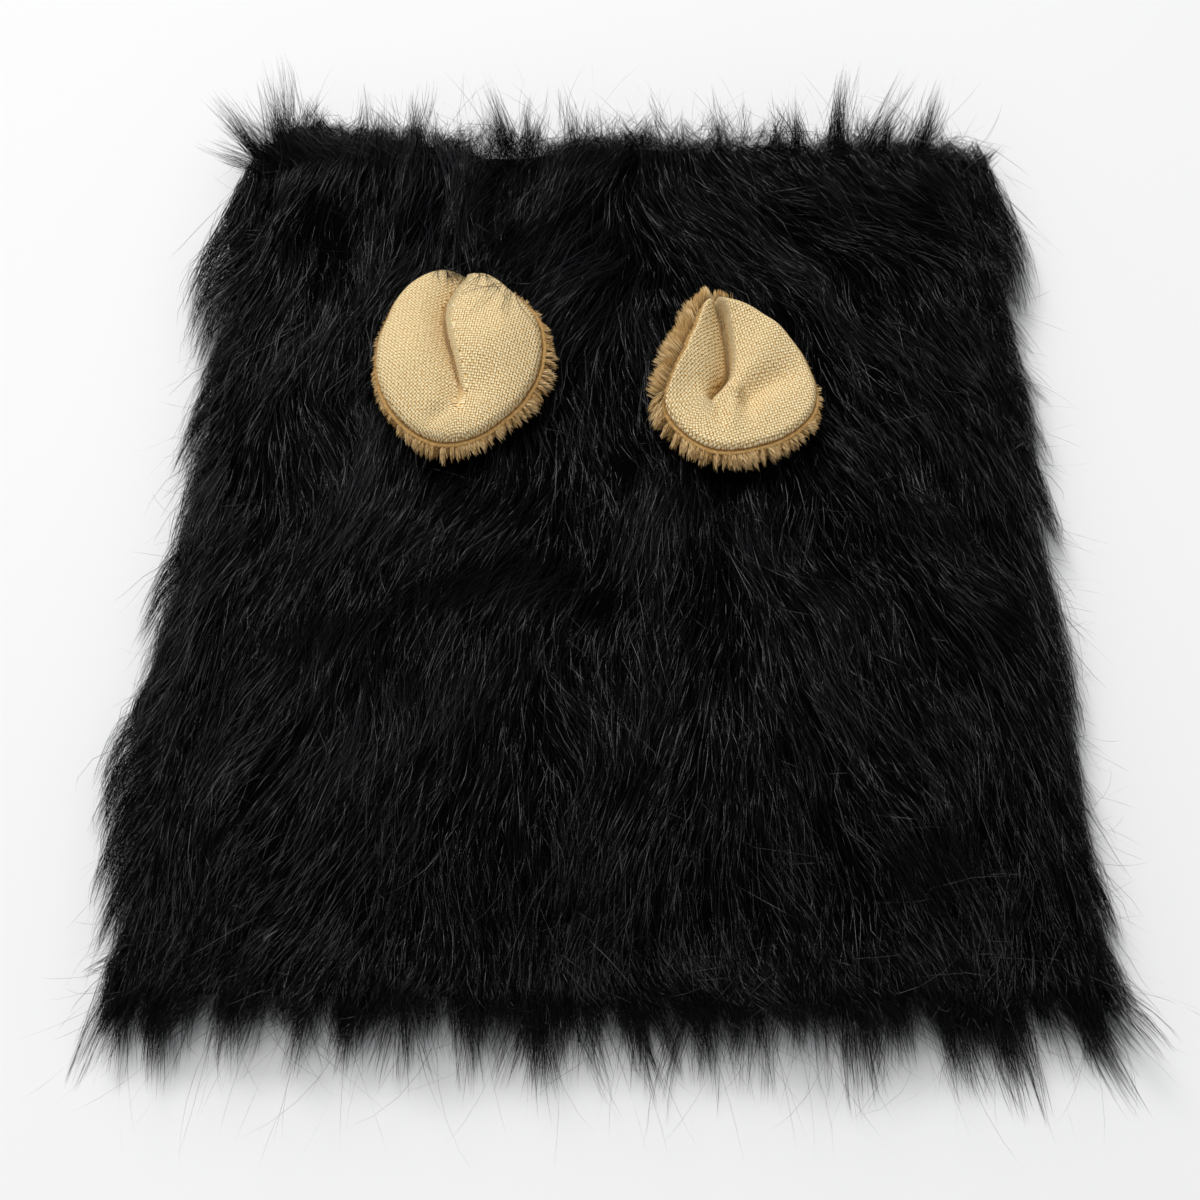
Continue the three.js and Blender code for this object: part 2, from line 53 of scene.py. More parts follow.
def table(columns, *rows):
    """Rows of values under named columns."""
    return [dict(zip(columns.split(), row)) for row in rows]


def column(rows, name):
    return np.array([row[name] for row in rows], dtype=float)


def between(rows, key, name, places):
    """A column of a table at places between its rows."""
    return np.interp(places, column(rows, key), column(rows, name))


def by_side(rows, side, y):
    """The left or the right column of a table at any y."""
    return np.where(side < 0, between(rows, "y", "left", y), between(rows, "y", "right", y))


# The lie of the sleeve, as the solids have it
NECK_Y, FACE_Y = -168.0, 214.0
NECK_HALF_WIDTH, FACE_HALF_WIDTH = 190.0, 152.0
NECK_MIDDLE_X, FACE_MIDDLE_X = 4.0, 12.0
FOLD_Z = 17.5
SLEEVE_HALF_HEIGHT = 8.5
HEM_DEPTH = 18.0
BACKING_CLEAR = 0.35  # between the backing and the pile on it
BACKING_WALL = 1.1
PILE_SIDE = 13.0
PILE_TOP = 17.0
THIN_AT_NECK, THIN_REACH = 0.45, 48  # share by which the pile thins, and how far from the neck
CLOTH_RELIEF = 0.15  # the backing follows this share of the pile's folds
MOUND_HEIGHT = 5.5
UNDER_REST_Z = 0.4  # the lowest strands lie just clear of the floor

low, high = (np.array(corner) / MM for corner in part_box("mane_sleeve"))
TO_FRAME = np.array(
    [
        (low[0] + high[0]) / 2 - NECK_MIDDLE_X,
        low[1] - NECK_Y,
        low[2] - (FOLD_Z - SLEEVE_HALF_HEIGHT),
    ]
)

# Creases, dips and puffs of the front: a line, its breadth and how far the pile rises or sinks there
FOLDS = table(
    "fold line breadth rise",
    ("right crease", (84, 12, 196, 28), 9, -14),
    ("right crease lip", (92, 26, 196, 42), 11, 5),
    ("left crease", (-116, -8, -17, 21), 11, -8),
    ("right shoulder dip", (82, 172, 150, 168), 13, -5),
    ("right neck slope", (40, -140, 150, -138), 22, -7),
    ("left neck slope", (-95, -142, -15, -142), 20, -6),
    ("right puff", (100, -50, 140, -60), 42, 4),
    ("left puff", (-120, -70, -60, -80), 40, 3),
    ("brow puff", (-110, 150, 110, 150), 36, 3),
    ("below right crease", (100, -14, 180, 0), 14, 3),
    ("middle dip", (-20, 60, 10, -40), 16, -3),
)

# Swirls in the pile: each turns the strands near it, in degrees, positive towards +X
SWIRLS = table(
    "x y reach turn",
    (-122, 78, 30, 66),
    (-42, 14, 34, -34),
    (72, 190, 26, 34),
    (142, 188, 26, 40),
    (-10, 190, 34, -16),
    (-112, 170, 24, 26),
    (120, 20, 26, 24),
    (62, 24, 22, 30),
    (40, -90, 36, -14),
    (-90, -110, 36, 12),
    (-20, -60, 26, 16),
)

# How far the pile leans outward at the sides, in degrees, from the face end to the neck
LEANS = table(
    "y left right",
    (-190, 16, 30),
    (-120, 24, 26),
    (-40, 34, 20),
    (40, 38, 28),
    (120, 40, 30),
    (210, 30, 30),
)
EDGE_LEAN_LEFT, EDGE_LEAN_RIGHT = 8.0, 6.0  # along the side edges the strands nearly follow them
DRIFT_TURN = 17  # degrees that the broad wander of the pile adds, and its curl, more at the face
CURL_TURN, CURL_TURN_AT_FACE = 8, 20

# How far the pile stands out past the sleeve's side edges
SIDE_PUFF = table(
    "y left right",
    (-170, 4, 1),
    (-145, 8, 7),
    (-97, 12, 5),
    (-49, 26, 2),
    (0, 19, 11),
    (47, 16, 6),
    (95, 18, 8),
    (143, 16, 5),
    (190, 31, 14),
    (214, 22, 13),
)

# How far the pile rolls out past the hem at the face end
HEM_BULGE = table(
    "x over",
    (-156, 10),
    (-136, 29),
    (-92, 21),
    (-62, 8),
    (-45, 0),
    (0, 11),
    (45, 8),
    (90, 5),
    (136, 13),
    (160, 6),
)

# The fringe's clumps across the neck edge, from -1 at its left end to 1 at its right: degrees that
# they turn, towards +X, and the share of a clump's reach
CLUMP_TURNS = table("place turn", (-1, -13), (-0.3, -4), (0.4, 8), (1, 24))
CLUMP_SHARES = table(
    "place share", (-1, 0.9), (-0.8, 0.72), (-0.5, 0.78), (-0.2, 1.05), (1, 1.0)
)
CLUMP_REACH, CLUMP_SPACING, CLUMP_SWAY = (20, 64), (8, 15), 7
CLUMP_GATHER, CLUMP_FALLOFF = 0.42, 0.22  # how far strands draw in, and how much sooner outer ones stop

# Tufts past the hem at the face end. Lean is in degrees from straight on, positive towards +X, and
# gather is how far a tuft draws together at its tip
HEM_TUFTS = table(
    "x lean length lift spread gather strands",
    (-150, -66, 46, 20, 4, 0.9, 120),
    (-148, -42, 54, 26, 8, 0.75, 420),
    (-142, -14, 60, 36, 6, 0.85, 320),
    (-134, -30, 40, 32, 10, 0.4, 500),
    (-138, -34, 27, 30, 11, 0.2, 700),
    (-118, -52, 25, 24, 12, 0.2, 600),
    (-96, -30, 17, 24, 11, 0.2, 420),
    (-103, 0, 32, 34, 3, 0.9, 80),
    (-91, 6, 20, 26, 5, 0.7, 130),
    (-80, -12, 24, 26, 4, 0.8, 130),
    (-64, 22, 32, 20, 2, 0.8, 26),
    (-59, -2, 26, 20, 4, 0.6, 90),
    (-49, -6, 25, 20, 3, 0.8, 70),
    (-40, -24, 44, 30, 6, 0.9, 230),
    (-33, 10, 36, 30, 5, 0.9, 210),
    (-18, 66, 30, 24, 5, 0.5, 60),
    (-2, -58, 28, 26, 6, 0.3, 110),
    (8, -70, 26, 22, 6, 0.3, 110),
    (17, -32, 32, 30, 5, 0.8, 110),
    (23, -6, 20, 34, 9, 0.4, 420),
    (32, 16, 24, 26, 5, 0.6, 90),
    (46, 40, 32, 24, 7, 0.4, 90),
    (62, -36, 32, 24, 7, 0.4, 90),
    (77, -4, 18, 24, 2.5, 0.6, 130),
    (92, -18, 36, 32, 6, 0.9, 230),
    (107, 10, 52, 34, 6, 0.92, 260),
    (119, 30, 50, 32, 7, 0.9, 280),
    (130, 8, 26, 30, 4, 0.8, 140),
    (143, 18, 47, 28, 6, 0.92, 240),
    (158, 12, 14, 20, 6, 0.5, 160),
    (171, 50, 21, 14, 4, 0.7, 150),
)

# Tufts past the side edges: lean is outward from straight down the mane
SIDE_TUFTS = table(
    "side y lean length spread gather strands",
    (-1, 206, 30, 44, 6, 0.92, 190),
    (-1, 178, 62, 38, 3, 0.95, 90),
    (-1, 158, 44, 34, 6, 0.85, 150),
    (-1, 140, 40, 30, 10, 0.5, 170),
    (-1, 122, 48, 24, 12, 0.3, 190),
    (-1, 104, 50, 16, 12, 0.3, 140),
    (-1, 70, 24, 18, 12, 0.3, 70),
    (-1, 30, 24, 25, 12, 0.4, 130),
    (-1, -66, 32, 28, 13, 0.4, 150),
    (-1, -100, 20, 20, 8, 0.5, 70),
    (-1, -150, 30, 34, 7, 0.8, 110),
    (1, 196, 110, 14, 3, 0.6, 30),
    (1, 178, 36, 34, 7, 0.85, 130),
    (1, 162, 20, 26, 10, 0.4, 120),
    (1, 134, 30, 42, 8, 0.85, 150),
    (1, 110, 36, 34, 8, 0.8, 130),
    (1, 76, 60, 15, 8, 0.3, 70),
    (1, 50, 26, 20, 10, 0.4, 70),
    (1, -18, 36, 26, 8, 0.6, 50),
    (1, -78, 26, 24, 12, 0.4, 70),
    (1, -160, 30, 52, 7, 0.85, 90),
)

# Strand counts and sizes
FRONT_STRANDS = 55000
FRINGE_STRANDS = 6500
HEM_ROLL_STRANDS = 8500
SIDE_STRANDS = 14000
UNDER_STRANDS = 5500
FUZZ_PER_PLACE = 66
FLYAWAYS = 900
EAR_HAIRS = 9000
WISP_STRANDS = 24
STRAND_LENGTH = 54.0
STRAND_WIDTH = 0.155
FLYAWAY_WIDTH = 0.13
PIECE_STRANDS = 24000
STEPS = np.array([0.0, 0.3, 0.58, 0.82, 1.0])  # places along a strand
TAPER = np.array([0.85, 1.0, 0.9, 0.62])
LOCK_CELL, WISP_CELL = 17.0, 4.2
CELL_JITTER = 0.42  # share of a cell by which its middle is off
NECK_ZONE = 42  # how far from the neck edge the pile changes into the fringe
HANG_REACH = 44.0  # how far past the edges strands have come down to the floor
FRINGE_ROOTS = 34  # the fringe's own strands grow this near the neck edge
TUFT_DROOP = 0.0022  # sag over the square of the run
STRAYS = dict(front=0.035, hem=0.06, sides=0.02, under=0.05)  # share of the strands that go astray

# Degrees that strands, strays, locks and wisps turn at random, and how far wisps and locks pull
# their strands together
STRAND_TURN, STRAY_TURN = 9, 75
LOCK_TURN, LOCK_TURN_AT_NECK, WISP_TURN = 17, 9, 12
WISP_PULL, LOCK_PULL, STRAY_HOLD = 0.52, 0.22, 0.1
BOW, DOUBLE_BOW = 1.7, 1.0  # sideways, once and twice along a strand
CALM_AT_SIDES = 0.65  # share by which the turns lessen at the side edges
PAINTED_SHADE_AT_NECK, PAINTED_SHADE_AT_RIGHT = 1.8, 0.9  # exponents of the painted shade that dims the tones there

# Squares over which the random fields and the cells are laid, well past the mane
FIELD_START, FIELD_SPAN = -340.0, 700.0
CELLS_START, CELLS_SPAN = -450.0, 900.0

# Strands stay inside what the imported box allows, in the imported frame
REACH = np.array([236.0, 262.0, 73.0])


def along(y):
    return (np.clip(y, NECK_Y, FACE_Y) - NECK_Y) / (FACE_Y - NECK_Y)


def half_width(y):
    return NECK_HALF_WIDTH + (FACE_HALF_WIDTH - NECK_HALF_WIDTH) * along(y)


def middle(y):
    return NECK_MIDDLE_X + (FACE_MIDDLE_X - NECK_MIDDLE_X) * along(y)


def smooth(value, start, end):
    t = np.clip((value - start) / (end - start), 0, 1)
    return t * t * (3 - 2 * t)


def at_neck(y, zone=NECK_ZONE):
    """0 over most of the mane and 1 at the neck edge."""
    return smooth(-y, -NECK_Y - zone, -NECK_Y)


def line_distance(x, y, line):
    x1, y1, x2, y2 = line
    length = (x2 - x1) ** 2 + (y2 - y1) ** 2
    t = np.clip(((x - x1) * (x2 - x1) + (y - y1) * (y2 - y1)) / length, 0, 1)
    return np.hypot(x - x1 - t * (x2 - x1), y - y1 - t * (y2 - y1))


def value_noise(seed, cell):
    """A smooth random field over the mane, -1 to 1, whose bumps are about a cell apart."""
    side = int(FIELD_SPAN / cell) + 4
    lattice = np.random.default_rng(seed).uniform(-1, 1, (side, side))

    def at(x, y):
        gx, gy = (np.asarray(x) - FIELD_START) / cell, (np.asarray(y) - FIELD_START) / cell
        i = np.clip(np.floor(gx).astype(int), 0, side - 2)
        j = np.clip(np.floor(gy).astype(int), 0, side - 2)
        fx, fy = smooth(gx - i, 0, 1), smooth(gy - j, 0, 1)
        near = lattice[i, j] * (1 - fx) + lattice[i + 1, j] * fx
        far = lattice[i, j + 1] * (1 - fx) + lattice[i + 1, j + 1] * fx
        return near * (1 - fy) + far * fy

    return at


MOUNDS = value_noise(11, 30.0)
DRIFT = value_noise(12, 42.0)
CURL = value_noise(15, 17.0)
RAGGED = value_noise(13, 15.0)
# Patches of painted sheen and shade: where this field is high the strands' tones are paler, as if they
# glinted together, and where low they go nearly black
PAINTED_SHEEN_PATCHES = value_noise(14, 20.0)


def relief(x, y):
    return sum(
        f["rise"] * np.exp(-((line_distance(x, y, f["line"]) / f["breadth"]) ** 2)) for f in FOLDS
    )


def backing_top(x, y):
    u = np.clip((x - middle(y)) / half_width(y), -1, 1)
    return FOLD_Z + np.sqrt(1 - u * u) * (SLEEVE_HALF_HEIGHT + CLOTH_RELIEF * relief(x, y))


def pile_top(x, y):
    u = np.clip((x - middle(y)) / (half_width(y) + PILE_SIDE), -1, 1)
    thinned = 1 - THIN_AT_NECK * smooth(NECK_Y + THIN_REACH - y, 0, THIN_REACH)
    rise = SLEEVE_HALF_HEIGHT + PILE_TOP * thinned + relief(x, y) + MOUND_HEIGHT * MOUNDS(x, y)
    return FOLD_Z + (1 - np.abs(u) ** 3) ** 0.6 * rise


def lean(x, y):
    """Degrees that the pile turns from straight down the mane, positive towards +X."""
    u = (x - middle(y)) / half_width(y)
    curl = CURL_TURN + CURL_TURN_AT_FACE * smooth(y, 30, 130)
    degrees = by_side(LEANS, u, y) * u + DRIFT_TURN * DRIFT(x, y)
    degrees = degrees + curl * CURL(x, y)
    for s in SWIRLS:
        away = np.hypot(x - s["x"], y - s["y"])
        degrees = degrees + s["turn"] * np.exp(-((away / s["reach"]) ** 2))
    follow = 0.85 * smooth(np.abs(x - middle(y)) - half_width(y), -12, PILE_SIDE - 3)
    edge = np.where(u < 0, -EDGE_LEAN_LEFT, EDGE_LEAN_RIGHT)
    return degrees + follow * (edge - degrees)


def neck_clumps():
    """The clumps of the fringe: where each leaves the neck edge, how far it reaches and its turn."""
    rng = np.random.default_rng(SEED + 14)
    rows = []
    x = NECK_MIDDLE_X - NECK_HALF_WIDTH - 4
    while x < NECK_MIDDLE_X + NECK_HALF_WIDTH + 6:
        place = (x - NECK_MIDDLE_X) / NECK_HALF_WIDTH
        turn = between(CLUMP_TURNS, "place", "turn", place) + rng.normal(0, CLUMP_SWAY)
        share = between(CLUMP_SHARES, "place", "share", place)
        rows.append(dict(x=x, reach=rng.uniform(*CLUMP_REACH) * share, turn=turn))
        x += rng.uniform(*CLUMP_SPACING)
    return rows


NECK_CLUMPS = neck_clumps()


def to_clumps(px, py, own):
    """Past the neck edge strands run together into the fringe's clumps, and each stops about where
    its clump does, sooner the further it lies from the clump's middle."""
    beyond = np.maximum(NECK_Y - py, 0)
    roots, reach, turn = (column(NECK_CLUMPS, name) for name in ("x", "reach", "turn"))
    slant = np.tan(np.radians(turn))
    tips = roots + beyond[:, -1:] * slant
    clump = np.abs(tips - px[:, -1:]).argmin(axis=1)
    away = px - roots[clump][:, None] - beyond * slant[clump][:, None]
    px = px - CLUMP_GATHER * away * smooth(beyond, 0, 34)
    shorter = CLUMP_FALLOFF * np.clip(np.abs(away[:, -1]) / 9, 0, 1)
    limit = (reach[clump] * own * (1 - shorter))[:, None]
    return px, py + beyond - limit * (1 - np.exp(-beyond / limit))


# Meshes
def add_object(name, data):
    made = bpy.data.objects.new(name, data)
    bpy.context.scene.collection.objects.link(made)
    return made


def new_mesh(name, vertices, loops, totals, material, uv=None, uv_name="OFBake"):
    """A mesh object from arrays: vertices in mm, the corner list, and how many corners each face has."""
    vertices = (np.asarray(vertices, dtype=np.float64) + TO_FRAME) * MM
    totals = np.asarray(totals, dtype=np.int32)
    starts = np.concatenate([[0], np.cumsum(totals)[:-1]]).astype(np.int32)
    mesh = bpy.data.meshes.new(name)
    mesh.vertices.add(len(vertices))
    mesh.vertices.foreach_set("co", vertices.astype(np.float32).ravel())
    mesh.loops.add(len(loops))
    mesh.loops.foreach_set("vertex_index", np.asarray(loops, dtype=np.int32))
    mesh.polygons.add(len(totals))
    mesh.polygons.foreach_set("loop_start", starts)
    mesh.polygons.foreach_set("use_smooth", np.full(len(totals), True))
    if uv is not None:
        layer = mesh.uv_layers.new(name=uv_name)
        layer.data.foreach_set("uv", np.asarray(uv, dtype=np.float32).ravel())
    mesh.update(calc_edges=True)
    mesh.validate()
    mesh.materials.append(material)
    piece = add_object(name, mesh)
    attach(piece, "root")
    return piece


def dress(piece, slot, *replaced):
    """Hide the solids that a piece stands in for; slot is not used."""
    if replaced:
        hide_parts(*replaced)
    return piece


def turns(count):
    """Angles evenly round a full turn."""
    return np.linspace(0, 2 * np.pi, count, endpoint=False)


def tube(name, rings, material):
    """A closed skin through rings that join end to end, as the wall of a tube does."""
    rings = np.asarray(rings)
    count, around = rings.shape[0], rings.shape[1]
    r, i = np.meshgrid(np.arange(count), np.arange(around), indexing="ij")
    nr, ni = (r + 1) % count, (i + 1) % around
    quad = np.stack([r * around + i, nr * around + i, nr * around + ni, r * around + ni], -1)
    quad = quad.reshape(-1, 4)
    return new_mesh(name, rings.reshape(-1, 3), quad.ravel(), [4] * len(quad), material)


def unit(v):
    return v / np.maximum(np.linalg.norm(v, axis=-1, keepdims=True), 1e-9)


def keep_inside(spines):
    """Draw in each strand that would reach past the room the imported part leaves, towards its own root."""
    root = spines[:, :1]
    framed, framed_root = spines + TO_FRAME, root + TO_FRAME
    room = np.where(framed > framed_root, REACH, -REACH) - framed_root
    room[..., 2] = np.where(framed[..., 2] > framed_root[..., 2], room[..., 2], -1e9)
    ratio = (framed - framed_root) / np.where(np.abs(room) < 1e-6, 1e-6, room)
    shrink = 1 / np.maximum(ratio.max(axis=(1, 2)), 1.0)
    return root + (spines - root) * shrink[:, None, None]


def strand_piece(name, spines, widths, tones, rolls, twists, material):
    """Flat tapered ribbons, one along each spine, each with a turn and a twist of its own."""
    spines = keep_inside(spines)
    count, steps = spines.shape[0], spines.shape[1] - 1
    places = np.linspace(0, 1, steps + 1)
    tangents = unit(np.gradient(spines, axis=1))
    side = unit(np.cross(tangents, np.array([0.0, 0.0, 1.0])) + 1e-6)
    other = np.cross(side, tangents)
    turn = (rolls[:, None] + twists[:, None] * places)[..., None]
    across = side * np.cos(turn) + other * np.sin(turn)
    taper = np.interp(places[:-1], np.linspace(0, 1, len(TAPER) + 1)[:-1], TAPER)
    half = widths[:, None, None] * taper[None, :, None] / 2
    left = spines[:, :-1] - across[:, :-1] * half
    right = spines[:, :-1] + across[:, :-1] * half
    pairs = np.stack([left, right], axis=2).reshape(count, 2 * steps, 3)
    vertices = np.concatenate([pairs, spines[:, -1:]], axis=1)
    quads = np.array([[2 * j, 2 * j + 1, 2 * j + 3, 2 * j + 2] for j in range(steps - 1)]).ravel()
    corners = np.concatenate([quads, [2 * steps - 2, 2 * steps - 1, 2 * steps]])
    loops = (np.arange(count)[:, None] * (2 * steps + 1) + corners).ravel()
    totals = np.tile([4] * (steps - 1) + [3], count)
    v = np.concatenate([np.repeat(places[:-1], 2), [1.0]])
    sway = np.concatenate([np.tile([-0.004, 0.004], steps), [0.0]])
    uv_u = tones[:, None] + sway[corners]
    uv_v = np.broadcast_to(v[corners], (count, len(corners)))
    uv = np.stack([uv_u, uv_v], -1)
    return new_mesh(name, vertices.reshape(-1, 3), loops, totals, material, uv)


# Strands
def cell_noise(rng, cell):
    """Five random numbers, -1 to 1, for each cell of a square pattern over the mane."""
    side = int(CELLS_SPAN / cell) + 4
    return rng.uniform(-1, 1, (side, side, 5))


def nearest_cell(x, y, cell, noise):
    """The jittered cell middle nearest to each point, that cell's numbers and how far it is."""
    gx = np.floor((x - CELLS_START) / cell).astype(int)
    gy = np.floor((y - CELLS_START) / cell).astype(int)
    best = np.full(x.shape, 1e9)
    near_x, near_y, found = np.zeros_like(x), np.zeros_like(x), np.zeros(x.shape + (noise.shape[2],))
    for di in (-1, 0, 1):
        for dj in (-1, 0, 1):
            i = np.clip(gx + di, 0, noise.shape[0] - 1)
            j = np.clip(gy + dj, 0, noise.shape[1] - 1)
            numbers = noise[i, j]
            cx = (i + 0.5 + CELL_JITTER * numbers[..., 0]) * cell + CELLS_START
            cy = (j + 0.5 + CELL_JITTER * numbers[..., 1]) * cell + CELLS_START
            distance = (cx - x) ** 2 + (cy - y) ** 2
            nearer = distance < best
            best = np.where(nearer, distance, best)
            near_x = np.where(nearer, cx, near_x)
            near_y = np.where(nearer, cy, near_y)
            found = np.where(nearer[..., None], numbers, found)
    return near_x, near_y, found, np.sqrt(best)


def flow_path(x, y, length, turn):
    """Points down the pile from each root, following its lean, plus a turn of each strand's own."""
    xs, ys = [x], [y]
    for a, b in zip(STEPS[:-1], STEPS[1:]):
        angle = np.radians(lean(xs[-1], ys[-1]) + turn)
        xs.append(xs[-1] + np.sin(angle) * length * (b - a))
        ys.append(ys[-1] - np.cos(angle) * length * (b - a))
    return np.stack(xs, 1), np.stack(ys, 1)


def settle(x, y, share):
    """Height of a strand that lies at a share of the pile's depth; past the edges it hangs to the floor."""
    yc = np.clip(y, NECK_Y, FACE_Y)
    limit = half_width(yc) + PILE_SIDE - 4
    xc = middle(yc) + np.clip(x - middle(yc), -limit, limit)
    base = backing_top(xc, yc)
    hang = smooth(np.hypot(x - xc, y - yc), 0, HANG_REACH)
    inside = base + share * (pile_top(xc, yc) - base)
    return inside * (1 - hang) + (1.2 + 5 * share) * hang


def comb(rng, x, y, length, stray):
    """Paths of strands drawn together into wisps and locks. Returns x, y along each, the lock's numbers
    and how far the root lies from the lock's middle."""
    lock_noise, wisp_noise = cell_noise(rng, LOCK_CELL), cell_noise(rng, WISP_CELL)
    lock_x, lock_y, lock, lock_far = nearest_cell(x, y, LOCK_CELL, lock_noise)
    wisp_x, wisp_y, wisp, _ = nearest_cell(x, y, WISP_CELL, wisp_noise)
    tidy = 1 - CALM_AT_SIDES * smooth(np.abs(x - middle(y)) - half_width(y), -16, 2)
    edge = at_neck(y, 50)
    own = rng.normal(0, STRAND_TURN, x.shape)
    astray = np.where(stray, rng.uniform(-STRAY_TURN, STRAY_TURN, x.shape), 0)
    lock_turn = (LOCK_TURN + LOCK_TURN_AT_NECK * edge) * lock[:, 2] * tidy
    wisp_turn = lock_turn + WISP_TURN * wisp[:, 2] * tidy
    px, py = flow_path(x, y, length, wisp_turn + (own + astray) * tidy)
    wx, wy = flow_path(wisp_x, wisp_y, length * (1 + 0.1 * wisp[:, 3]), wisp_turn)
    kx, ky = flow_path(lock_x, lock_y, length * (1 + 0.15 * lock[:, 3]), lock_turn)
    held = np.where(stray, STRAY_HOLD, 1.0)
    to_wisp = (WISP_PULL * held)[:, None] * STEPS**1.2
    to_lock = ((LOCK_PULL + edge * (0.34 + 0.3 * lock[:, 0])) * held)[:, None] * STEPS**1.5
    px, py = px + to_wisp * (wx - px), py + to_wisp * (wy - py)
    px, py = px + to_lock * (kx - px), py + to_lock * (ky - py)
    bow = rng.normal(0, BOW, x.shape)[:, None] * np.sin(np.pi * STEPS)
    bow = bow + rng.normal(0, DOUBLE_BOW, x.shape)[:, None] * np.sin(2 * np.pi * STEPS)
    angle = np.radians(lean(x, y))[:, None]
    return px + bow * np.cos(angle), py + bow * np.sin(angle), lock, lock_far


def tone_numbers(rng, count):
    """A few strands are paler than the rest, partly their own tone and partly a painted sheen."""
    return np.clip(rng.beta(1.1, 3.6, count), 0.01, 0.99)


def split_pieces(rng, stem, spines, widths, material, replaced="mane_fur_front"):
    """Strands as pieces of a size that can be sliced, each strand with a tone that is partly its own and
    partly painted sheen and shade, and a turn and a twist of its own.
    """
    count = len(spines)
    x, y = spines[:, 2, 0], spines[:, 2, 1]
    # Painted sheen and shade: tones rise in the sheen patches, on mounds and puffs, and fall in creases, in
    # the hollows between mounds, towards the neck and towards the right
    painted_sheen_and_shade = 0.9 * PAINTED_SHEEN_PATCHES(x, y) + 0.5 * MOUNDS(x, y) + 0.1 * relief(x, y)
    painted_sheen_and_shade = painted_sheen_and_shade - PAINTED_SHADE_AT_NECK * smooth(-y, 50, 160) - PAINTED_SHADE_AT_RIGHT * smooth(x, 60, 160)
    tones = np.clip(tone_numbers(rng, count) * np.exp(np.clip(painted_sheen_and_shade, -2.5, 1.2)), 0.01, 0.99)
    rolls, twists = rng.uniform(-1.4, 1.4, count), rng.normal(0, 2.6, count)
    pieces = []
    for i, start in enumerate(range(0, count, PIECE_STRANDS)):
        cut = slice(start, start + PIECE_STRANDS)
        piece = strand_piece(
            f"{stem}_{i + 1}", spines[cut], widths[cut], tones[cut], rolls[cut], twists[cut], material
        )
        pieces.append(dress(piece, "long_fur", replaced))
    return pieces


def lay(px, py, pz):
    """Spines from the coordinates along each strand, none of them under the floor."""
    return np.stack([px, py, np.maximum(pz, UNDER_REST_Z)], -1)


def tuft(rng, row, roots, heading):
    """Strands of one tuft from the given roots: they join in wisps, and the wisps draw to its axis."""
    count = len(roots)
    wisps = max(count // WISP_STRANDS, 1)
    wisp = rng.integers(0, wisps, count)
    wisp_share = 0.45 + 0.55 * rng.uniform(0, 1, wisps)
    length = row["length"] * wisp_share[wisp] * rng.uniform(0.5, 1.05, count)
    spread = 9 + 18 * (1 - row["gather"])
    own = np.radians(rng.normal(0, spread, wisps)[wisp] + rng.normal(0, 5, count))
    lift = np.radians(row["lift"] + rng.normal(0, 9, wisps)[wisp] + rng.normal(0, 3, count))
    bend = np.radians(rng.normal(0, 20, wisps)[wisp] + rng.normal(0, 6, count))
    angle = heading + own[:, None] + bend[:, None] * STEPS
    reach = np.diff(STEPS, prepend=0.0) * (length * np.cos(lift))[:, None]
    px = roots[:, :1] + np.cumsum(np.sin(angle) * reach, axis=1)
    py = roots[:, 1:2] + np.cumsum(np.cos(angle) * reach, axis=1)
    members = np.maximum(np.bincount(wisp, minlength=wisps), 1)
    for axis, path in ((0, px), (1, py)):
        centre = (np.bincount(wisp, roots[:, axis], wisps) / members)[wisp]
        path += ((centre - roots[:, axis]) * 0.85)[:, None] * STEPS**0.8
    run = length[:, None] * STEPS
    middle_root = roots[:, :2].mean(axis=0)
    axis_x = middle_root[0] + np.sin(heading) * run * np.cos(lift)[:, None]
    axis_y = middle_root[1] + np.cos(heading) * run * np.cos(lift)[:, None]
    pull = 0.8 * row["gather"] * np.clip(run / row["length"], 0, 1) ** 0.75
    px, py = px + pull * (axis_x - px), py + pull * (axis_y - py)
    return lay(px, py, roots[:, 2:3] + run * np.sin(lift)[:, None] - TUFT_DROOP * run**2)


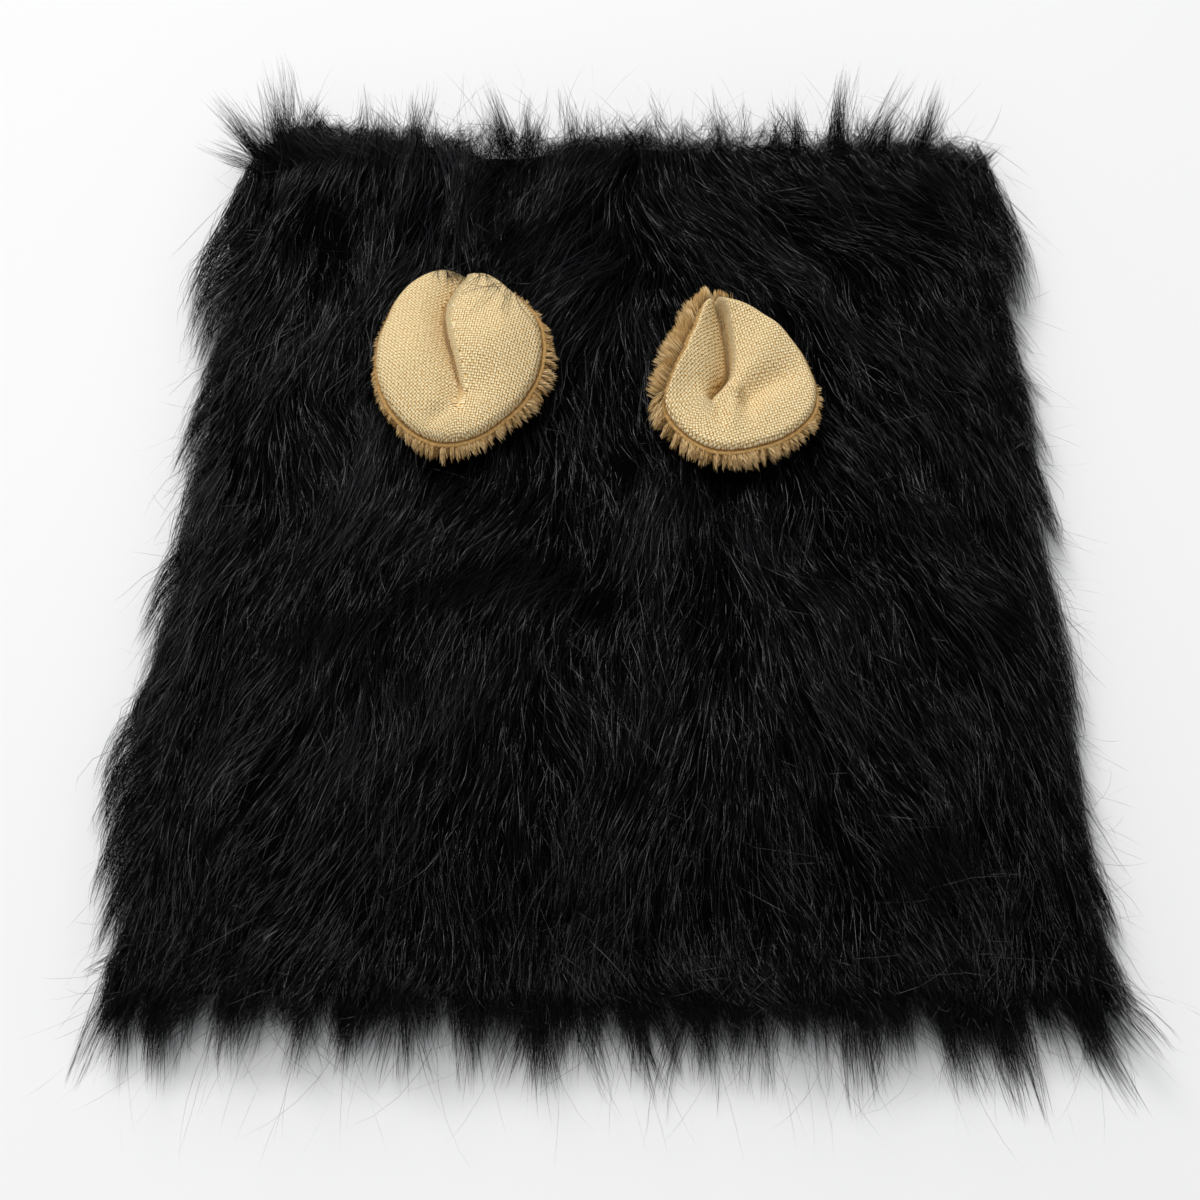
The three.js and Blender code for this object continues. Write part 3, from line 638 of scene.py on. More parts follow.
# Ears: outline rows run round the ear from +X; seam is the woven cloth's edge, plush how far the pile
# stands out past it, and rise the height of the seam over the ear's own level. The pleat runs from the
# rim down into the ear, with its depth and the breadth of each of its flanks
LEFT_EAR = dict(
    side="left",
    x=-58.0,
    y=101.0,
    level=50.0,
    outline=table(
        "angle seam plush rise",
        (0, 32.6, 5.2, 0.0),
        (30, 35.3, 2.7, 0.0),
        (45, 35.8, 1.4, -1.0),
        (60, 37.8, 0.3, -2.0),
        (75, 43.0, 0.0, -4.0),
        (90, 46.9, 0.0, -6.0),
        (105, 49.2, 0.0, -6.0),
        (120, 46.9, 0.2, -5.0),
        (150, 38.8, 0.7, -1.5),
        (180, 37.6, 1.0, 0.0),
        (210, 38.9, 2.0, 0.0),
        (240, 40.8, 3.8, 0.0),
        (255, 41.4, 5.6, 0.0),
        (270, 39.1, 4.0, 0.0),
        (300, 33.3, 3.2, 0.0),
        (330, 31.7, 5.2, 0.0),
    ),
    crown=9.0,
    pleat=table(
        "x y depth left right",
        (0.8, 50, 8.0, 8.0, 3.6),
        (0.3, 43, 11.0, 9.0, 3.2),
        (-4.5, 34, 13.0, 9.0, 3.0),
        (-7.6, 25, 13.0, 9.0, 3.0),
        (-8.1, 17, 12.5, 9.0, 3.2),
        (-6.4, 7, 12.0, 8.5, 3.6),
        (-3.7, -3, 11.0, 7.5, 4.0),
        (-1.7, -11, 9.0, 6.5, 4.5),
        (-0.6, -18, 5.0, 6.0, 5.0),
        (-2.5, -24, 0.0, 5.0, 5.0),
    ),
    lap=3.4,
    slit=3.0,
    hollows=table(
        "x y turn long across depth",
        (-4, -22, -50, 9, 4.0, 3.6),
        (-10, -29, 40, 6, 3.5, 2.4),
        (6, -17, 50, 14, 8, 2.6),
        (17, 10, 80, 24, 13, -3.2),
        (-24, -4, 75, 22, 10, -2.4),
    ),
    combed=(0.1, -0.55),
    grain_left=42.0,
    grain_right=-12.0,
    grain_turn=(-2.0, -30.0),
)
RIGHT_EAR = dict(
    side="right",
    x=57.0,
    y=93.5,
    level=52.0,
    outline=table(
        "angle seam plush rise",
        (0, 32.3, 0.5, 1.0),
        (30, 27.6, 0.3, 3.0),
        (60, 26.8, 0.3, 6.0),
        (75, 28.2, 0.3, 8.0),
        (90, 29.6, 0.4, 10.0),
        (105, 35.4, 4.0, 10.5),
        (120, 27.2, 14.5, 11.0),
        (135, 22.3, 15.6, 12.0),
        (150, 21.4, 13.0, 12.5),
        (165, 20.6, 13.4, 12.5),
        (180, 23.0, 12.4, 11.0),
        (195, 27.2, 10.6, 8.0),
        (210, 34.6, 6.0, 3.0),
        (225, 35.5, 5.6, 0.5),
        (255, 37.6, 5.0, 0.0),
        (285, 36.0, 5.2, 0.0),
        (315, 37.7, 3.8, 0.0),
        (330, 38.4, 3.4, 0.0),
        (345, 36.4, 0.8, 0.0),
    ),
    crown=3.0,
    pleat=table(
        "x y depth left right",
        (-8.6, 38, 3.0, 5.0, 3.0),
        (-6.6, 31, 8.0, 6.0, 3.0),
        (-3.4, 23, 13.0, 7.5, 3.4),
        (-1.8, 13, 13.0, 8.0, 3.4),
        (-1.2, 4, 13.5, 8.0, 3.2),
        (-2.3, -3, 13.0, 6.5, 2.6),
        (-5.4, -8.0, 12.0, 4.6, 2.2),
        (-9.0, -12, 7.0, 3.6, 2.2),
        (-11.4, -15, 0.0, 3.5, 3.5),
    ),
    lap=2.2,
    slit=6.0,
    hollows=table(
        "x y turn long across depth",
        (13, -8, 30, 14, 6, 5.2),
        (-4.6, -5.8, 47, 4.8, 1.9, 14.0),
        (1.5, -11.5, 95, 3.6, 2.2, -5.0),
        (-0.5, -20, 90, 8, 2.6, -2.0),
        (6.5, -17, 80, 7, 4, 2.6),
        (-6, -21, 95, 7, 3, 1.8),
        (16, 12, 60, 18, 8, -2.4),
    ),
    combed=(-0.05, 1.0),
    grain_left=-42.0,
    grain_right=18.0,
    grain_turn=(-17.0, -26.0),
)
EARS = (LEFT_EAR, RIGHT_EAR)
EAR_SPOKES, EAR_RINGS = 168, 52
PLUSH_SPOKES, PLUSH_RINGS = 96, 30
POCKET_DEPTH = 18.0
SLIT_BREADTH = 1.3
CLOTH = 1.2
YARN = 1.15  # from one yarn of the weave to the next
WEAVE_UV = 0.01  # UV units to a millimetre of the weave
PLUSH_DEPTH = 6.0
PLUSH_LAP = 0.2  # share of the plush's rings that lie past the seam
TUFT_ANGLE = 0.05  # radians round the ear from one tuft to the next
TUFT_CLOSES = 8.0  # times a hair's distance from its tuft's middle
EAR_HAIR_SAG = 0.05
COMBING, RIM_COMBED = 1.3, (0.12, -0.3)  # over the folded side, and elsewhere
SEAM_SPOKES, SEAM_SIDES, SEAM_RADIUS = 180, 8, 0.9
RIM_ROLL = 0.07  # share of the way out over which the cloth turns down to its seam
RIM_DROP = 2.2


def round_the_ear(ear, angle, name):
    """A column of the ear's outline at any angle in radians, smoothed between its rows."""
    degrees, values = column(ear["outline"], "angle"), column(ear["outline"], name)
    fine = np.arange(0, 360, 2.0)
    wrapped = np.interp(fine, np.append(degrees, 360), np.append(values, values[0]))
    weights = np.exp(-((np.arange(-6, 7) / 3.0) ** 2))
    padded = np.concatenate([wrapped[-6:], wrapped, wrapped[:6]])
    soft = np.convolve(padded, weights / weights.sum(), mode="valid")
    return np.interp(np.degrees(angle) % 360, np.append(fine, 360), np.append(soft, soft[0]))


def pleat_place(ear, x, y):
    """Signed distance from the pleat, positive on its right, with its depth, its flank's breadth and how
    far the place lies past the pleat's inner end."""
    rows = ear["pleat"]
    shape = np.shape(x)
    best = np.full(shape, 1e9)
    signed, depth, breadth, past = np.zeros(shape), np.zeros(shape), np.ones(shape), np.zeros(shape)
    for number, (first, second) in enumerate(zip(rows[:-1], rows[1:])):
        dx, dy = second["x"] - first["x"], second["y"] - first["y"]
        length = math.hypot(dx, dy)
        t = ((x - first["x"]) * dx + (y - first["y"]) * dy) / length**2
        last = number == len(rows) - 2
        t = np.clip(t, 0, 9.0 if last else 1.0)
        away = np.hypot(x - first["x"] - t * dx, y - first["y"] - t * dy)
        right = dx * (y - first["y"]) - dy * (x - first["x"]) > 0
        nearer = away < best
        best = np.where(nearer, away, best)
        signed = np.where(nearer, np.where(right, away, -away), signed)
        inside = np.minimum(t, 1)
        depth = np.where(nearer, first["depth"] + inside * (second["depth"] - first["depth"]), depth)
        flank = np.where(
            right,
            first["right"] + inside * (second["right"] - first["right"]),
            first["left"] + inside * (second["left"] - first["left"]),
        )
        breadth = np.where(nearer, flank, breadth)
        past = np.where(nearer, np.maximum(t - 1, 0) * length, past)
    return signed, depth, breadth, past


def turned(dx, dy, angle):
    """Offsets as seen along a direction and to its left."""
    return dx * np.cos(angle) + dy * np.sin(angle), -dx * np.sin(angle) + dy * np.cos(angle)


def ear_surface(ear, angle, share):
    """The woven cloth's upper side in the mane's frame; share is 0 in the middle and 1 at the seam."""
    reach = round_the_ear(ear, angle, "seam") * share
    x, y = np.cos(angle) * reach, np.sin(angle) * reach
    signed, depth, breadth, _ = pleat_place(ear, x, y)
    valley = depth * np.exp(-((np.abs(signed) / breadth) ** 1.3))
    z = ear["level"] + round_the_ear(ear, angle, "rise") * share**1.5
    z = z + ear["crown"] * (1 - share**2) ** 0.85 - valley
    for hollow in ear["hollows"]:
        dx, dy = x - hollow["x"], y - hollow["y"]
        lengthwise, sideways = turned(dx, dy, math.radians(hollow["turn"]))
        away = (lengthwise / hollow["long"]) ** 2 + (sideways / hollow["across"]) ** 2
        z = z - hollow["depth"] * np.exp(-away)
    turn_down = np.clip((share - (1 - RIM_ROLL)) / RIM_ROLL, 0, 1)
    z = z - RIM_DROP * turn_down**2.2
    z = z - ear["slit"] * np.exp(-((signed / SLIT_BREADTH) ** 2)) * np.clip(depth / 10, 0, 1)
    z = np.maximum(z, ear["level"] - POCKET_DEPTH)
    lap = ear["lap"] * np.exp(-(((signed - 3.2) / 2.2) ** 2)) * np.clip(depth / 8, 0, 1)
    return np.stack([ear["x"] + x - lap, ear["y"] + y, z + 0.1 * lap], -1)


def ring_grid(spokes, rings):
    return np.meshgrid(turns(spokes), np.linspace(0, 1, rings + 1)[1:])


def shell_faces(spokes, rings):
    """Faces of a closed form from two layers of a hub and rings: hub, rings, hub, rings."""
    layer = 1 + spokes * rings
    loops, totals = [], []
    s = np.arange(spokes)
    n = (s + 1) % spokes
    for start, turn in ((0, 1), (layer, -1)):
        fan = np.stack([np.full(spokes, start), start + 1 + s, start + 1 + n], 1)
        loops.append((fan if turn > 0 else fan[:, ::-1]).ravel())
        totals += [3] * spokes
        for r in range(rings - 1):
            inner = start + 1 + r * spokes
            outer = inner + spokes
            quad = np.stack([inner + s, outer + s, outer + n, inner + n], 1)
            loops.append((quad if turn > 0 else quad[:, ::-1]).ravel())
            totals += [4] * spokes
    top = 1 + (rings - 1) * spokes
    bottom = layer + top
    rim = np.stack([bottom + s, bottom + n, top + n, top + s], 1)
    loops.append(rim.ravel())
    totals += [4] * spokes
    return np.concatenate(loops), totals


def ear_cloth(ear, material):
    """The woven inside of an ear, with the grain of its cloth turned on each side of the pleat."""
    angle, share = ring_grid(EAR_SPOKES, EAR_RINGS)
    top = ear_surface(ear, angle, share).reshape(-1, 3)
    hub = ear_surface(ear, np.zeros(1), np.zeros(1))
    upper = np.concatenate([hub, top])
    vertices = np.concatenate([upper, upper - np.array([0, 0, CLOTH])])
    loops, totals = shell_faces(EAR_SPOKES, EAR_RINGS)
    x, y = upper[:, 0] - ear["x"], upper[:, 1] - ear["y"]
    signed, _, _, past = pleat_place(ear, x, y)
    blend = smooth(signed / (2.5 + 1.2 * past), -1, 1)
    grain = np.radians(ear["grain_left"] * (1 - blend) + ear["grain_right"] * blend)
    turn_x, turn_y = ear["grain_turn"]
    flat = np.stack(turned(x - turn_x, y - turn_y, grain), 1)
    flat = np.tile(flat, (2, 1)) * WEAVE_UV + 0.5
    piece = new_mesh(f"ear_{ear['side']}_cloth", vertices, loops, totals, material, flat[loops], "Weave")
    return dress(piece, "woven_cloth", f"ear_{ear['side']}_face")


def plush_surface(ear, angle, share):
    """Upper side of the plush layer: share 1 is the seam and 2 the outer edge of its cloth."""
    past = np.clip(share - 1, 0, 1)
    cloth = ear_surface(ear, angle, np.minimum(share, 1.0))
    out = round_the_ear(ear, angle, "plush") * 0.55 + 0.6
    fall = np.clip(round_the_ear(ear, angle, "plush") * 0.75, 1.5, 14)
    cloth[..., 0] += np.cos(angle) * out * past
    cloth[..., 1] += np.sin(angle) * out * past
    cloth[..., 2] -= CLOTH + 0.35 + fall * past**1.6
    return cloth


def ear_plush(ear, material):
    """The plush back of an ear, which rolls over past the seam, closed underneath."""
    angle, share = ring_grid(PLUSH_SPOKES, PLUSH_RINGS)
    share = share * (1 + PLUSH_LAP)
    share = np.where(share > 1, 1 + (share - 1) / PLUSH_LAP, share)
    top = plush_surface(ear, angle, share)
    bottom = top.copy()
    bottom[..., 2] -= PLUSH_DEPTH * np.sqrt(np.clip(1 - np.clip(share - 1, 0, 1) ** 2, 0.02, 1))
    hub = plush_surface(ear, np.zeros(1), np.zeros(1))
    low_hub = hub - np.array([0, 0, PLUSH_DEPTH])
    vertices = np.concatenate([hub, top.reshape(-1, 3), low_hub, bottom.reshape(-1, 3)])
    loops, totals = shell_faces(PLUSH_SPOKES, PLUSH_RINGS)
    piece = new_mesh(f"ear_{ear['side']}_plush", vertices, loops, totals, material)
    return dress(piece, "short_plush", f"ear_{ear['side']}_back")


def scatter(number):
    """A fraction that differs at random from one number to the next, and is always the same for each."""
    return np.modf(np.abs(np.sin(number * 12.9898) * 43758.5453))[0]


def ear_tufts(ear, rng, material):
    """Short pile that stands out round the rim of the ear, in small tufts."""
    angle = rng.uniform(0, 2 * np.pi, EAR_HAIRS)
    plush = round_the_ear(ear, angle, "plush")
    keep = rng.uniform(0, 1, EAR_HAIRS) < np.clip((plush - 0.4) / 4, 0, 1)
    angle, plush = angle[keep], plush[keep]
    n = len(angle)
    past = rng.uniform(0.1, 1.0, n) ** 0.8
    root = plush_surface(ear, angle, 1 + past)
    root[:, 2] -= rng.uniform(0, 2.5, n) * (past > 0.8)
    number = np.round(angle / TUFT_ANGLE)
    tuft_own = scatter(number)
    aside = 0.5 * (tuft_own - 0.5)
    centre = (number + aside) * TUFT_ANGLE
    high_side = smooth(round_the_ear(ear, angle, "rise"), 3, 9)
    heading = angle + TUFT_CLOSES * (centre - angle) + rng.normal(0, 0.14, n) + 0.8 * (tuft_own - 0.5)
    combed = COMBING * np.array([ear["combed"]])
    side_comb = np.where(high_side[:, None] > 0.5, combed, np.array([RIM_COMBED]))
    aim = unit(np.stack([np.cos(heading), np.sin(heading)], 1) + side_comb)
    length = (1.4 + 0.42 * np.clip(plush, 0, 7)) * (0.55 + 0.8 * tuft_own)
    length = length * rng.uniform(0.75, 1.15, n) + 2.0 * high_side
    slope = np.radians(rng.uniform(-22, 26, n) + 12 * (1 - past))
    run = length[:, None] * np.linspace(0, 1, 4)
    sag = EAR_HAIR_SAG * run**2
    level = np.cos(slope)[:, None]
    spines = np.stack([
        root[:, :1] + aim[:, :1] * run * level,
        root[:, 1:2] + aim[:, 1:] * run * level,
        root[:, 2:] + run * np.sin(slope)[:, None] - sag,
    ], -1)
    piece = strand_piece(
        f"ear_{ear['side']}_tufts", spines, rng.uniform(0.2, 0.36, n),
        np.clip(0.5 + aside + rng.normal(0, 0.16, n), 0.01, 0.99),
        rng.uniform(-1.0, 1.0, n), rng.normal(0, 0.3, n), material,
    )
    return dress(piece, "short_plush", f"ear_{ear['side']}_back")


def seam_roll(ear, material):
    """The narrow turned edge of the plush cloth that shows just outside the seam."""
    angle = turns(SEAM_SPOKES)
    path = plush_surface(ear, angle, np.ones(len(angle)))
    shows = smooth(round_the_ear(ear, angle, "plush"), 0.4, 3.0)
    shows = shows * (1 - smooth(round_the_ear(ear, angle, "rise"), 2, 7))
    outward = np.stack([np.cos(angle), np.sin(angle), np.zeros(len(angle))], 1)
    path += outward * (0.2 + 1.0 * shows)[:, None]
    path[:, 2] += 0.9 * shows - 1.2
    phase = turns(SEAM_SIDES)[None, :, None]
    ring = outward[:, None, :] * np.cos(phase) + np.array([0, 0, 1.0]) * np.sin(phase)
    piece = tube(f"ear_{ear['side']}_seam", path[:, None, :] + SEAM_RADIUS * ring, material)
    return dress(piece, "short_plush")


def ear_shelter(x, y, z):
    """Strands that would run through an ear are pressed down under it."""
    for ear in EARS:
        dx, dy = x - ear["x"], y - ear["y"]
        angle = np.arctan2(dy, dx)
        reach = round_the_ear(ear, angle, "seam")
        edge = reach + round_the_ear(ear, angle, "plush") * 0.55
        share = np.clip(np.hypot(dx, dy) / reach, 0, 1)
        under = ear_surface(ear, angle, share)[..., 2] - CLOTH - PLUSH_DEPTH - 1.0
        inside = smooth(edge + 4 - np.hypot(dx, dy), 0, 5)
        pressed = np.minimum(z, under)
        z = z + (pressed - z) * inside
    return z


# Materials
# Yarn colours of the weave; the dark low end is painted shade between the yarns
WEAVE_COLOURS_AND_GAP_SHADE = [
    (0.08, (0.12, 0.055, 0.016)),
    (0.32, (0.49, 0.275, 0.09)),
    (0.58, (0.90, 0.60, 0.25)),
    (0.86, (1.0, 0.89, 0.58)),
]


def new_material(name):
    made = bpy.data.materials.new(name)
    made.use_nodes = True
    return made, made.node_tree, made.node_tree.nodes["Principled BSDF"]


def node(tree, kind, inputs=(), **settings):
    """A shader node; inputs are pairs of a socket and what it takes, a value or another node's output."""
    made = tree.nodes.new(kind)
    for key, value in settings.items():
        setattr(made, key, value)
    for socket, value in inputs:
        if isinstance(value, bpy.types.NodeSocket):
            tree.links.new(value, made.inputs[socket])
        else:
            made.inputs[socket].default_value = value
    return made


def maths(tree, operation, *values):
    return node(tree, "ShaderNodeMath", enumerate(values), operation=operation).outputs[0]


def noise_texture(tree, vector, scale, detail):
    inputs = [("Vector", vector), ("Scale", scale), ("Detail", detail)]
    return node(tree, "ShaderNodeTexNoise", inputs)


def finish_shader(tree, shader, colour, roughness, specular):
    tree.links.new(colour, shader.inputs["Base Color"])
    shader.inputs["Roughness"].default_value = roughness
    shader.inputs["Specular IOR Level"].default_value = specular


def add_bump(tree, shader, height, strength, distance):
    bump = node(tree, "ShaderNodeBump", [("Strength", strength), ("Distance", distance), ("Height", height)])
    tree.links.new(bump.outputs[0], shader.inputs["Normal"])


def ramp(tree, factor, stops):
    made = node(tree, "ShaderNodeValToRGB", [(0, factor)])
    elements = made.color_ramp.elements
    while len(elements) < len(stops):
        elements.new(0.5)
    for element, (place, colour) in zip(elements, stops):
        element.position = place
        element.color = (*colour, 1)
    return made.outputs["Color"]


def fur_material(name, dark, mid, pale, roughness, specular):
    """Colour by the strand (u), and from its root to its tip (v), where the darker roots are painted shade
    deep in the pile.
    """
    made, tree, shader = new_material(name)
    uv = node(tree, "ShaderNodeUVMap", uv_map="OFBake")
    split = node(tree, "ShaderNodeSeparateXYZ", [(0, uv.outputs["UV"])])
    by_strand = ramp(tree, split.outputs["X"], [(0.0, dark), (0.45, mid), (0.9, pale)])
    # Painted shade: each strand is darkened towards its root
    painted_root_shade = ramp(tree, split.outputs["Y"], [(0.0, (0.35,) * 3), (0.4, (0.8,) * 3), (1.0, (1.0,) * 3)])
    mix = node(
        tree, "ShaderNodeMix", [("Factor", 1.0), (6, by_strand), (7, painted_root_shade)],
        data_type="RGBA", blend_type="MULTIPLY",
    )
    finish_shader(tree, shader, mix.outputs[2], roughness, specular)
    return made


def weave_material():
    """A plain weave of cream and tan yarns, with its crossings as bump, and painted shade that darkens the
    low places between the yarns.
    """
    made, tree, shader = new_material("woven_cloth")
    uv = node(tree, "ShaderNodeUVMap", uv_map="Weave")
    scaled = node(
        tree, "ShaderNodeVectorMath", [(0, uv.outputs["UV"]), ("Scale", 1 / (WEAVE_UV * YARN))],
        operation="SCALE",
    ).outputs[0]
    wander = noise_texture(tree, scaled, 0.35, 2.0)
    shifted = node(
        tree, "ShaderNodeVectorMath", [(0, wander.outputs["Color"]), (1, (0.5, 0.5, 0.5)), (2, scaled)],
        operation="MULTIPLY_ADD",
    ).outputs[0]
    split = node(tree, "ShaderNodeSeparateXYZ", [(0, shifted)])
    waves = []
    for axis in ("X", "Y"):
        half_turns = maths(tree, "MULTIPLY", split.outputs[axis], math.pi)
        waves.append(maths(tree, "ABSOLUTE", maths(tree, "SINE", half_turns)))
    checker = node(
        tree, "ShaderNodeTexChecker",
        [("Vector", shifted), ("Color1", (1, 1, 1, 1)), ("Color2", (0, 0, 0, 1)), ("Scale", 1.0)],
    ).outputs["Fac"]
    height = node(tree, "ShaderNodeMix", [("Factor", checker), ("A", waves[0]), ("B", waves[1])]).outputs[0]
    yarn = noise_texture(tree, scaled, 1.1, 3.0)
    # Painted shade: the colour follows the weave's height, darker where it is low between the yarns
    level = maths(tree, "MULTIPLY_ADD", height, 0.62, yarn.outputs["Fac"])
    shade = maths(tree, "SUBTRACT", level, 0.36)
    under = maths(tree, "MULTIPLY_ADD", checker, 0.16, shade)
    finish_shader(tree, shader, ramp(tree, under, WEAVE_COLOURS_AND_GAP_SHADE), 0.9, 0.2)
    add_bump(tree, shader, height, 0.75, 0.0007)
    return made


def noise_material(name, stops, scale, roughness, specular, bump_strength, bump_distance):
    made, tree, shader = new_material(name)
    place = node(tree, "ShaderNodeTexCoord")
    noise = noise_texture(tree, place.outputs["Object"], scale, 4.0).outputs["Fac"]
    finish_shader(tree, shader, ramp(tree, noise, stops), roughness, specular)
    add_bump(tree, shader, noise, bump_strength, bump_distance)
    return made


# Pieces of the mane
def sleeve_ring(y, grow, height, around=80):
    angle, yy = turns(around), np.full(around, y)
    x = middle(yy) + np.cos(angle) * (half_width(yy) + grow)
    rise = np.where(np.sin(angle) > 0, height + CLOTH_RELIEF * relief(x, yy), height)
    return np.stack([x, yy, FOLD_Z + np.sin(angle) * rise], 1)


def backing(material):
    """The knitted backing as one thin wall, its hem turned in at the face end."""
    height = SLEEVE_HALF_HEIGHT - BACKING_CLEAR
    turned_in = np.linspace(FACE_Y, FACE_Y - HEM_DEPTH, 8)
    rings = [sleeve_ring(y, -BACKING_CLEAR, height) for y in np.linspace(NECK_Y, FACE_Y, 44)]
    rings.append(sleeve_ring(FACE_Y + 0.7, -1.6, height - 1.3))
    rings += [sleeve_ring(y, -2.7, height - 2.5) for y in turned_in]
    rings += [sleeve_ring(y, -2.0, height - 1.5) for y in turned_in]
    for y in np.linspace(FACE_Y - 2, NECK_Y, 44):
        rings.append(sleeve_ring(y, -BACKING_CLEAR - BACKING_WALL, height - BACKING_WALL))
    return dress(tube("mane_backing", rings, material), "backing_cloth", "mane_sleeve")


def hem_bulge(x):
    return between(HEM_BULGE, "x", "over", x)


def side_puff(side, y):
    return by_side(SIDE_PUFF, side, y)


def undercoat(material):
    """The dense underfur that closes the sight through the strands to the backing."""
    around = 96
    angle = turns(around)
    side, flank = np.sign(np.cos(angle)), np.abs(np.cos(angle))
    outer, inner = [], []
    for y in np.linspace(NECK_Y + 3, FACE_Y - 2, 56):
        ring = sleeve_ring(y, 0.0, SLEEVE_HALF_HEIGHT, around)
        x, yy = ring[:, 0].copy(), ring[:, 1].copy()
        near_neck = smooth(NECK_Y + 30 - y, 0, 27)
        near_face = smooth(y, FACE_Y - 20, FACE_Y - 2)
        top_share = (0.34 + 0.1 * MOUNDS(x, yy)) * (1 - near_face) * (1 - 0.7 * near_neck)
        depth = np.maximum(pile_top(x, yy) - backing_top(x, yy), 0)
        upper = backing_top(x, yy) + 0.3 + top_share * depth
        lower = 2.2 + (FOLD_Z - 2.2) * flank**6
        ring[:, 2] = np.where(np.sin(angle) > 0, upper, lower) - 5 * flank**8
        grow = side_puff(side, yy) - 3.5 + 2.5 * RAGGED(side * 150, yy) - 7 * near_face - 8 * near_neck
        ring[:, 0] += side * grow * flank**3
        ring[:, 1] += near_neck * 3 * RAGGED(x, yy) + near_face * 0.6 * hem_bulge(ring[:, 0])
        outer.append(ring)
        inner.append(sleeve_ring(y, 0.2, SLEEVE_HALF_HEIGHT + 0.15, around))
    piece = tube("pile_undercoat", outer + inner[::-1], material)
    return dress(piece, "long_fur", "mane_fur_front", "mane_fur_back")


def front_pile(rng, material):
    """The long pile of the upper side, with more of it along the neck edge for the fringe."""
    count = FRONT_STRANDS + FRINGE_STRANDS
    y = rng.uniform(NECK_Y, FACE_Y, count)
    y[FRONT_STRANDS:] = NECK_Y + rng.uniform(0, 1, FRINGE_STRANDS) ** 1.3 * FRINGE_ROOTS
    x = middle(y) + rng.uniform(-1, 1, count) * (half_width(y) + 1)
    near_face = smooth(y, FACE_Y - 60, FACE_Y)
    y = y + near_face * (0.85 * hem_bulge(x) + 4 * RAGGED(x, 300.0))
    stray = rng.uniform(0, 1, count) < STRAYS["front"]
    length = STRAND_LENGTH * rng.uniform(0.74, 1.08, count) * np.where(stray, 1.12, 1.0)
    trimmed = 0.5 + 0.5 * rng.uniform(0, 1, count)
    length = length * (1 + at_neck(y) * (trimmed - 1))
    share = 0.28 + 0.64 * rng.beta(2.0, 1.4, count)
    px, py, lock, lock_far = comb(rng, x, y, length, stray)
    px, py = to_clumps(px, py, rng.uniform(0.4, 1.5, count))
    share = share * (0.78 + 0.4 * lock[:, 4]) + 0.26 * np.clip(1 - lock_far / LOCK_CELL, 0, 1)
    pz = settle(px, py, share[:, None] * (0.42 + 0.58 * (1 - (1 - STEPS) ** 2)))
    pz += np.where(stray, rng.uniform(1, 11, count), 0)[:, None] * STEPS**1.6
    spines = lay(px, py, ear_shelter(px, py, pz))
    widths = STRAND_WIDTH * rng.uniform(0.65, 1.25, count) * np.where(stray, 0.75, 1.0)
    order = rng.permutation(count)
    return split_pieces(rng, "pile_front", spines[order], widths[order], material)


def hem_roll(rng, material):
    """The pile along the face edge, which comes up from behind the hem and over it onto the front."""
    n = HEM_ROLL_STRANDS
    x = FACE_MIDDLE_X + rng.uniform(-1, 1, n) * (FACE_HALF_WIDTH + 12)
    bulge = hem_bulge(x)
    y = FACE_Y + rng.uniform(-7, 2, n) + 0.5 * bulge
    length = STRAND_LENGTH * rng.uniform(0.35, 0.95, n)
    stray = rng.uniform(0, 1, n) < STRAYS["hem"]
    px, py, lock, _ = comb(rng, x, y, length, stray)
    over = np.clip(0.75 * bulge + 3.5 * lock[:, 1] + rng.normal(0, 1.5, n), 0.5, 22)
    py = py + over[:, None] * np.sin(np.pi * np.clip(1.5 * STEPS, 0, 1))
    share = 0.45 + 0.5 * rng.beta(2.0, 1.4, n) + 0.12 * lock[:, 4]
    climb = -0.35 + 1.35 * smooth(STEPS, -0.15, 0.5)
    edge = smooth(np.abs(x - FACE_MIDDLE_X), FACE_HALF_WIDTH - 6, FACE_HALF_WIDTH + 12)
    pz = settle(px, py, (share * (1 - 0.5 * edge))[:, None] * climb)
    widths = STRAND_WIDTH * rng.uniform(0.65, 1.2, n)
    return split_pieces(rng, "pile_hem", lay(px, py, pz), widths, material)


def side_pile(rng, material):
    """The pile that wraps the side edges, standing out and then running down along them."""
    n = SIDE_STRANDS
    y = rng.uniform(NECK_Y, FACE_Y + 12, n)
    side = np.where(rng.uniform(0, 1, n) < 0.58, -1.0, 1.0)
    out = rng.uniform(0, 1, n) ** 0.3
    ragged = 1 + 0.12 * RAGGED(side * 200, y)
    puff = (side_puff(side, y) + 2.0) * ragged * (1 - 0.35 * smooth(y, FACE_Y, FACE_Y + 12))
    x = middle(y) + side * (half_width(y) - 1)
    length = STRAND_LENGTH * rng.uniform(0.6, 1.0, n)
    near_neck = at_neck(y)
    length = length * (1 - near_neck * rng.uniform(0.4, 0.8, n))
    stray = rng.uniform(0, 1, n) < STRAYS["sides"]
    stands_out = side * out * puff
    px, py, _, _ = comb(rng, x + stands_out, y, length, stray)
    drawn_in = 0.75 * (1 - smooth(y, FACE_Y - 40, FACE_Y))
    px = px - (stands_out * drawn_in)[:, None] * (1 - smooth(STEPS, 0, 0.7))
    px, py = to_clumps(px, py, rng.uniform(0.5, 1.2, n))
    level = rng.uniform(-1, 1, n) * np.sqrt(1 - 0.92 * out**2)
    hang = 1 - 0.45 * (near_neck + 0.3)[:, None] * STEPS
    pz = (FOLD_Z + 13 * level * np.where(level < 0, 1 + 0.5 * level, 0.5 + 0.5 * level))[:, None] * hang
    widths = STRAND_WIDTH * rng.uniform(1.0, 1.6, n)
    return split_pieces(rng, "pile_sides", lay(px, py, pz), widths, material)


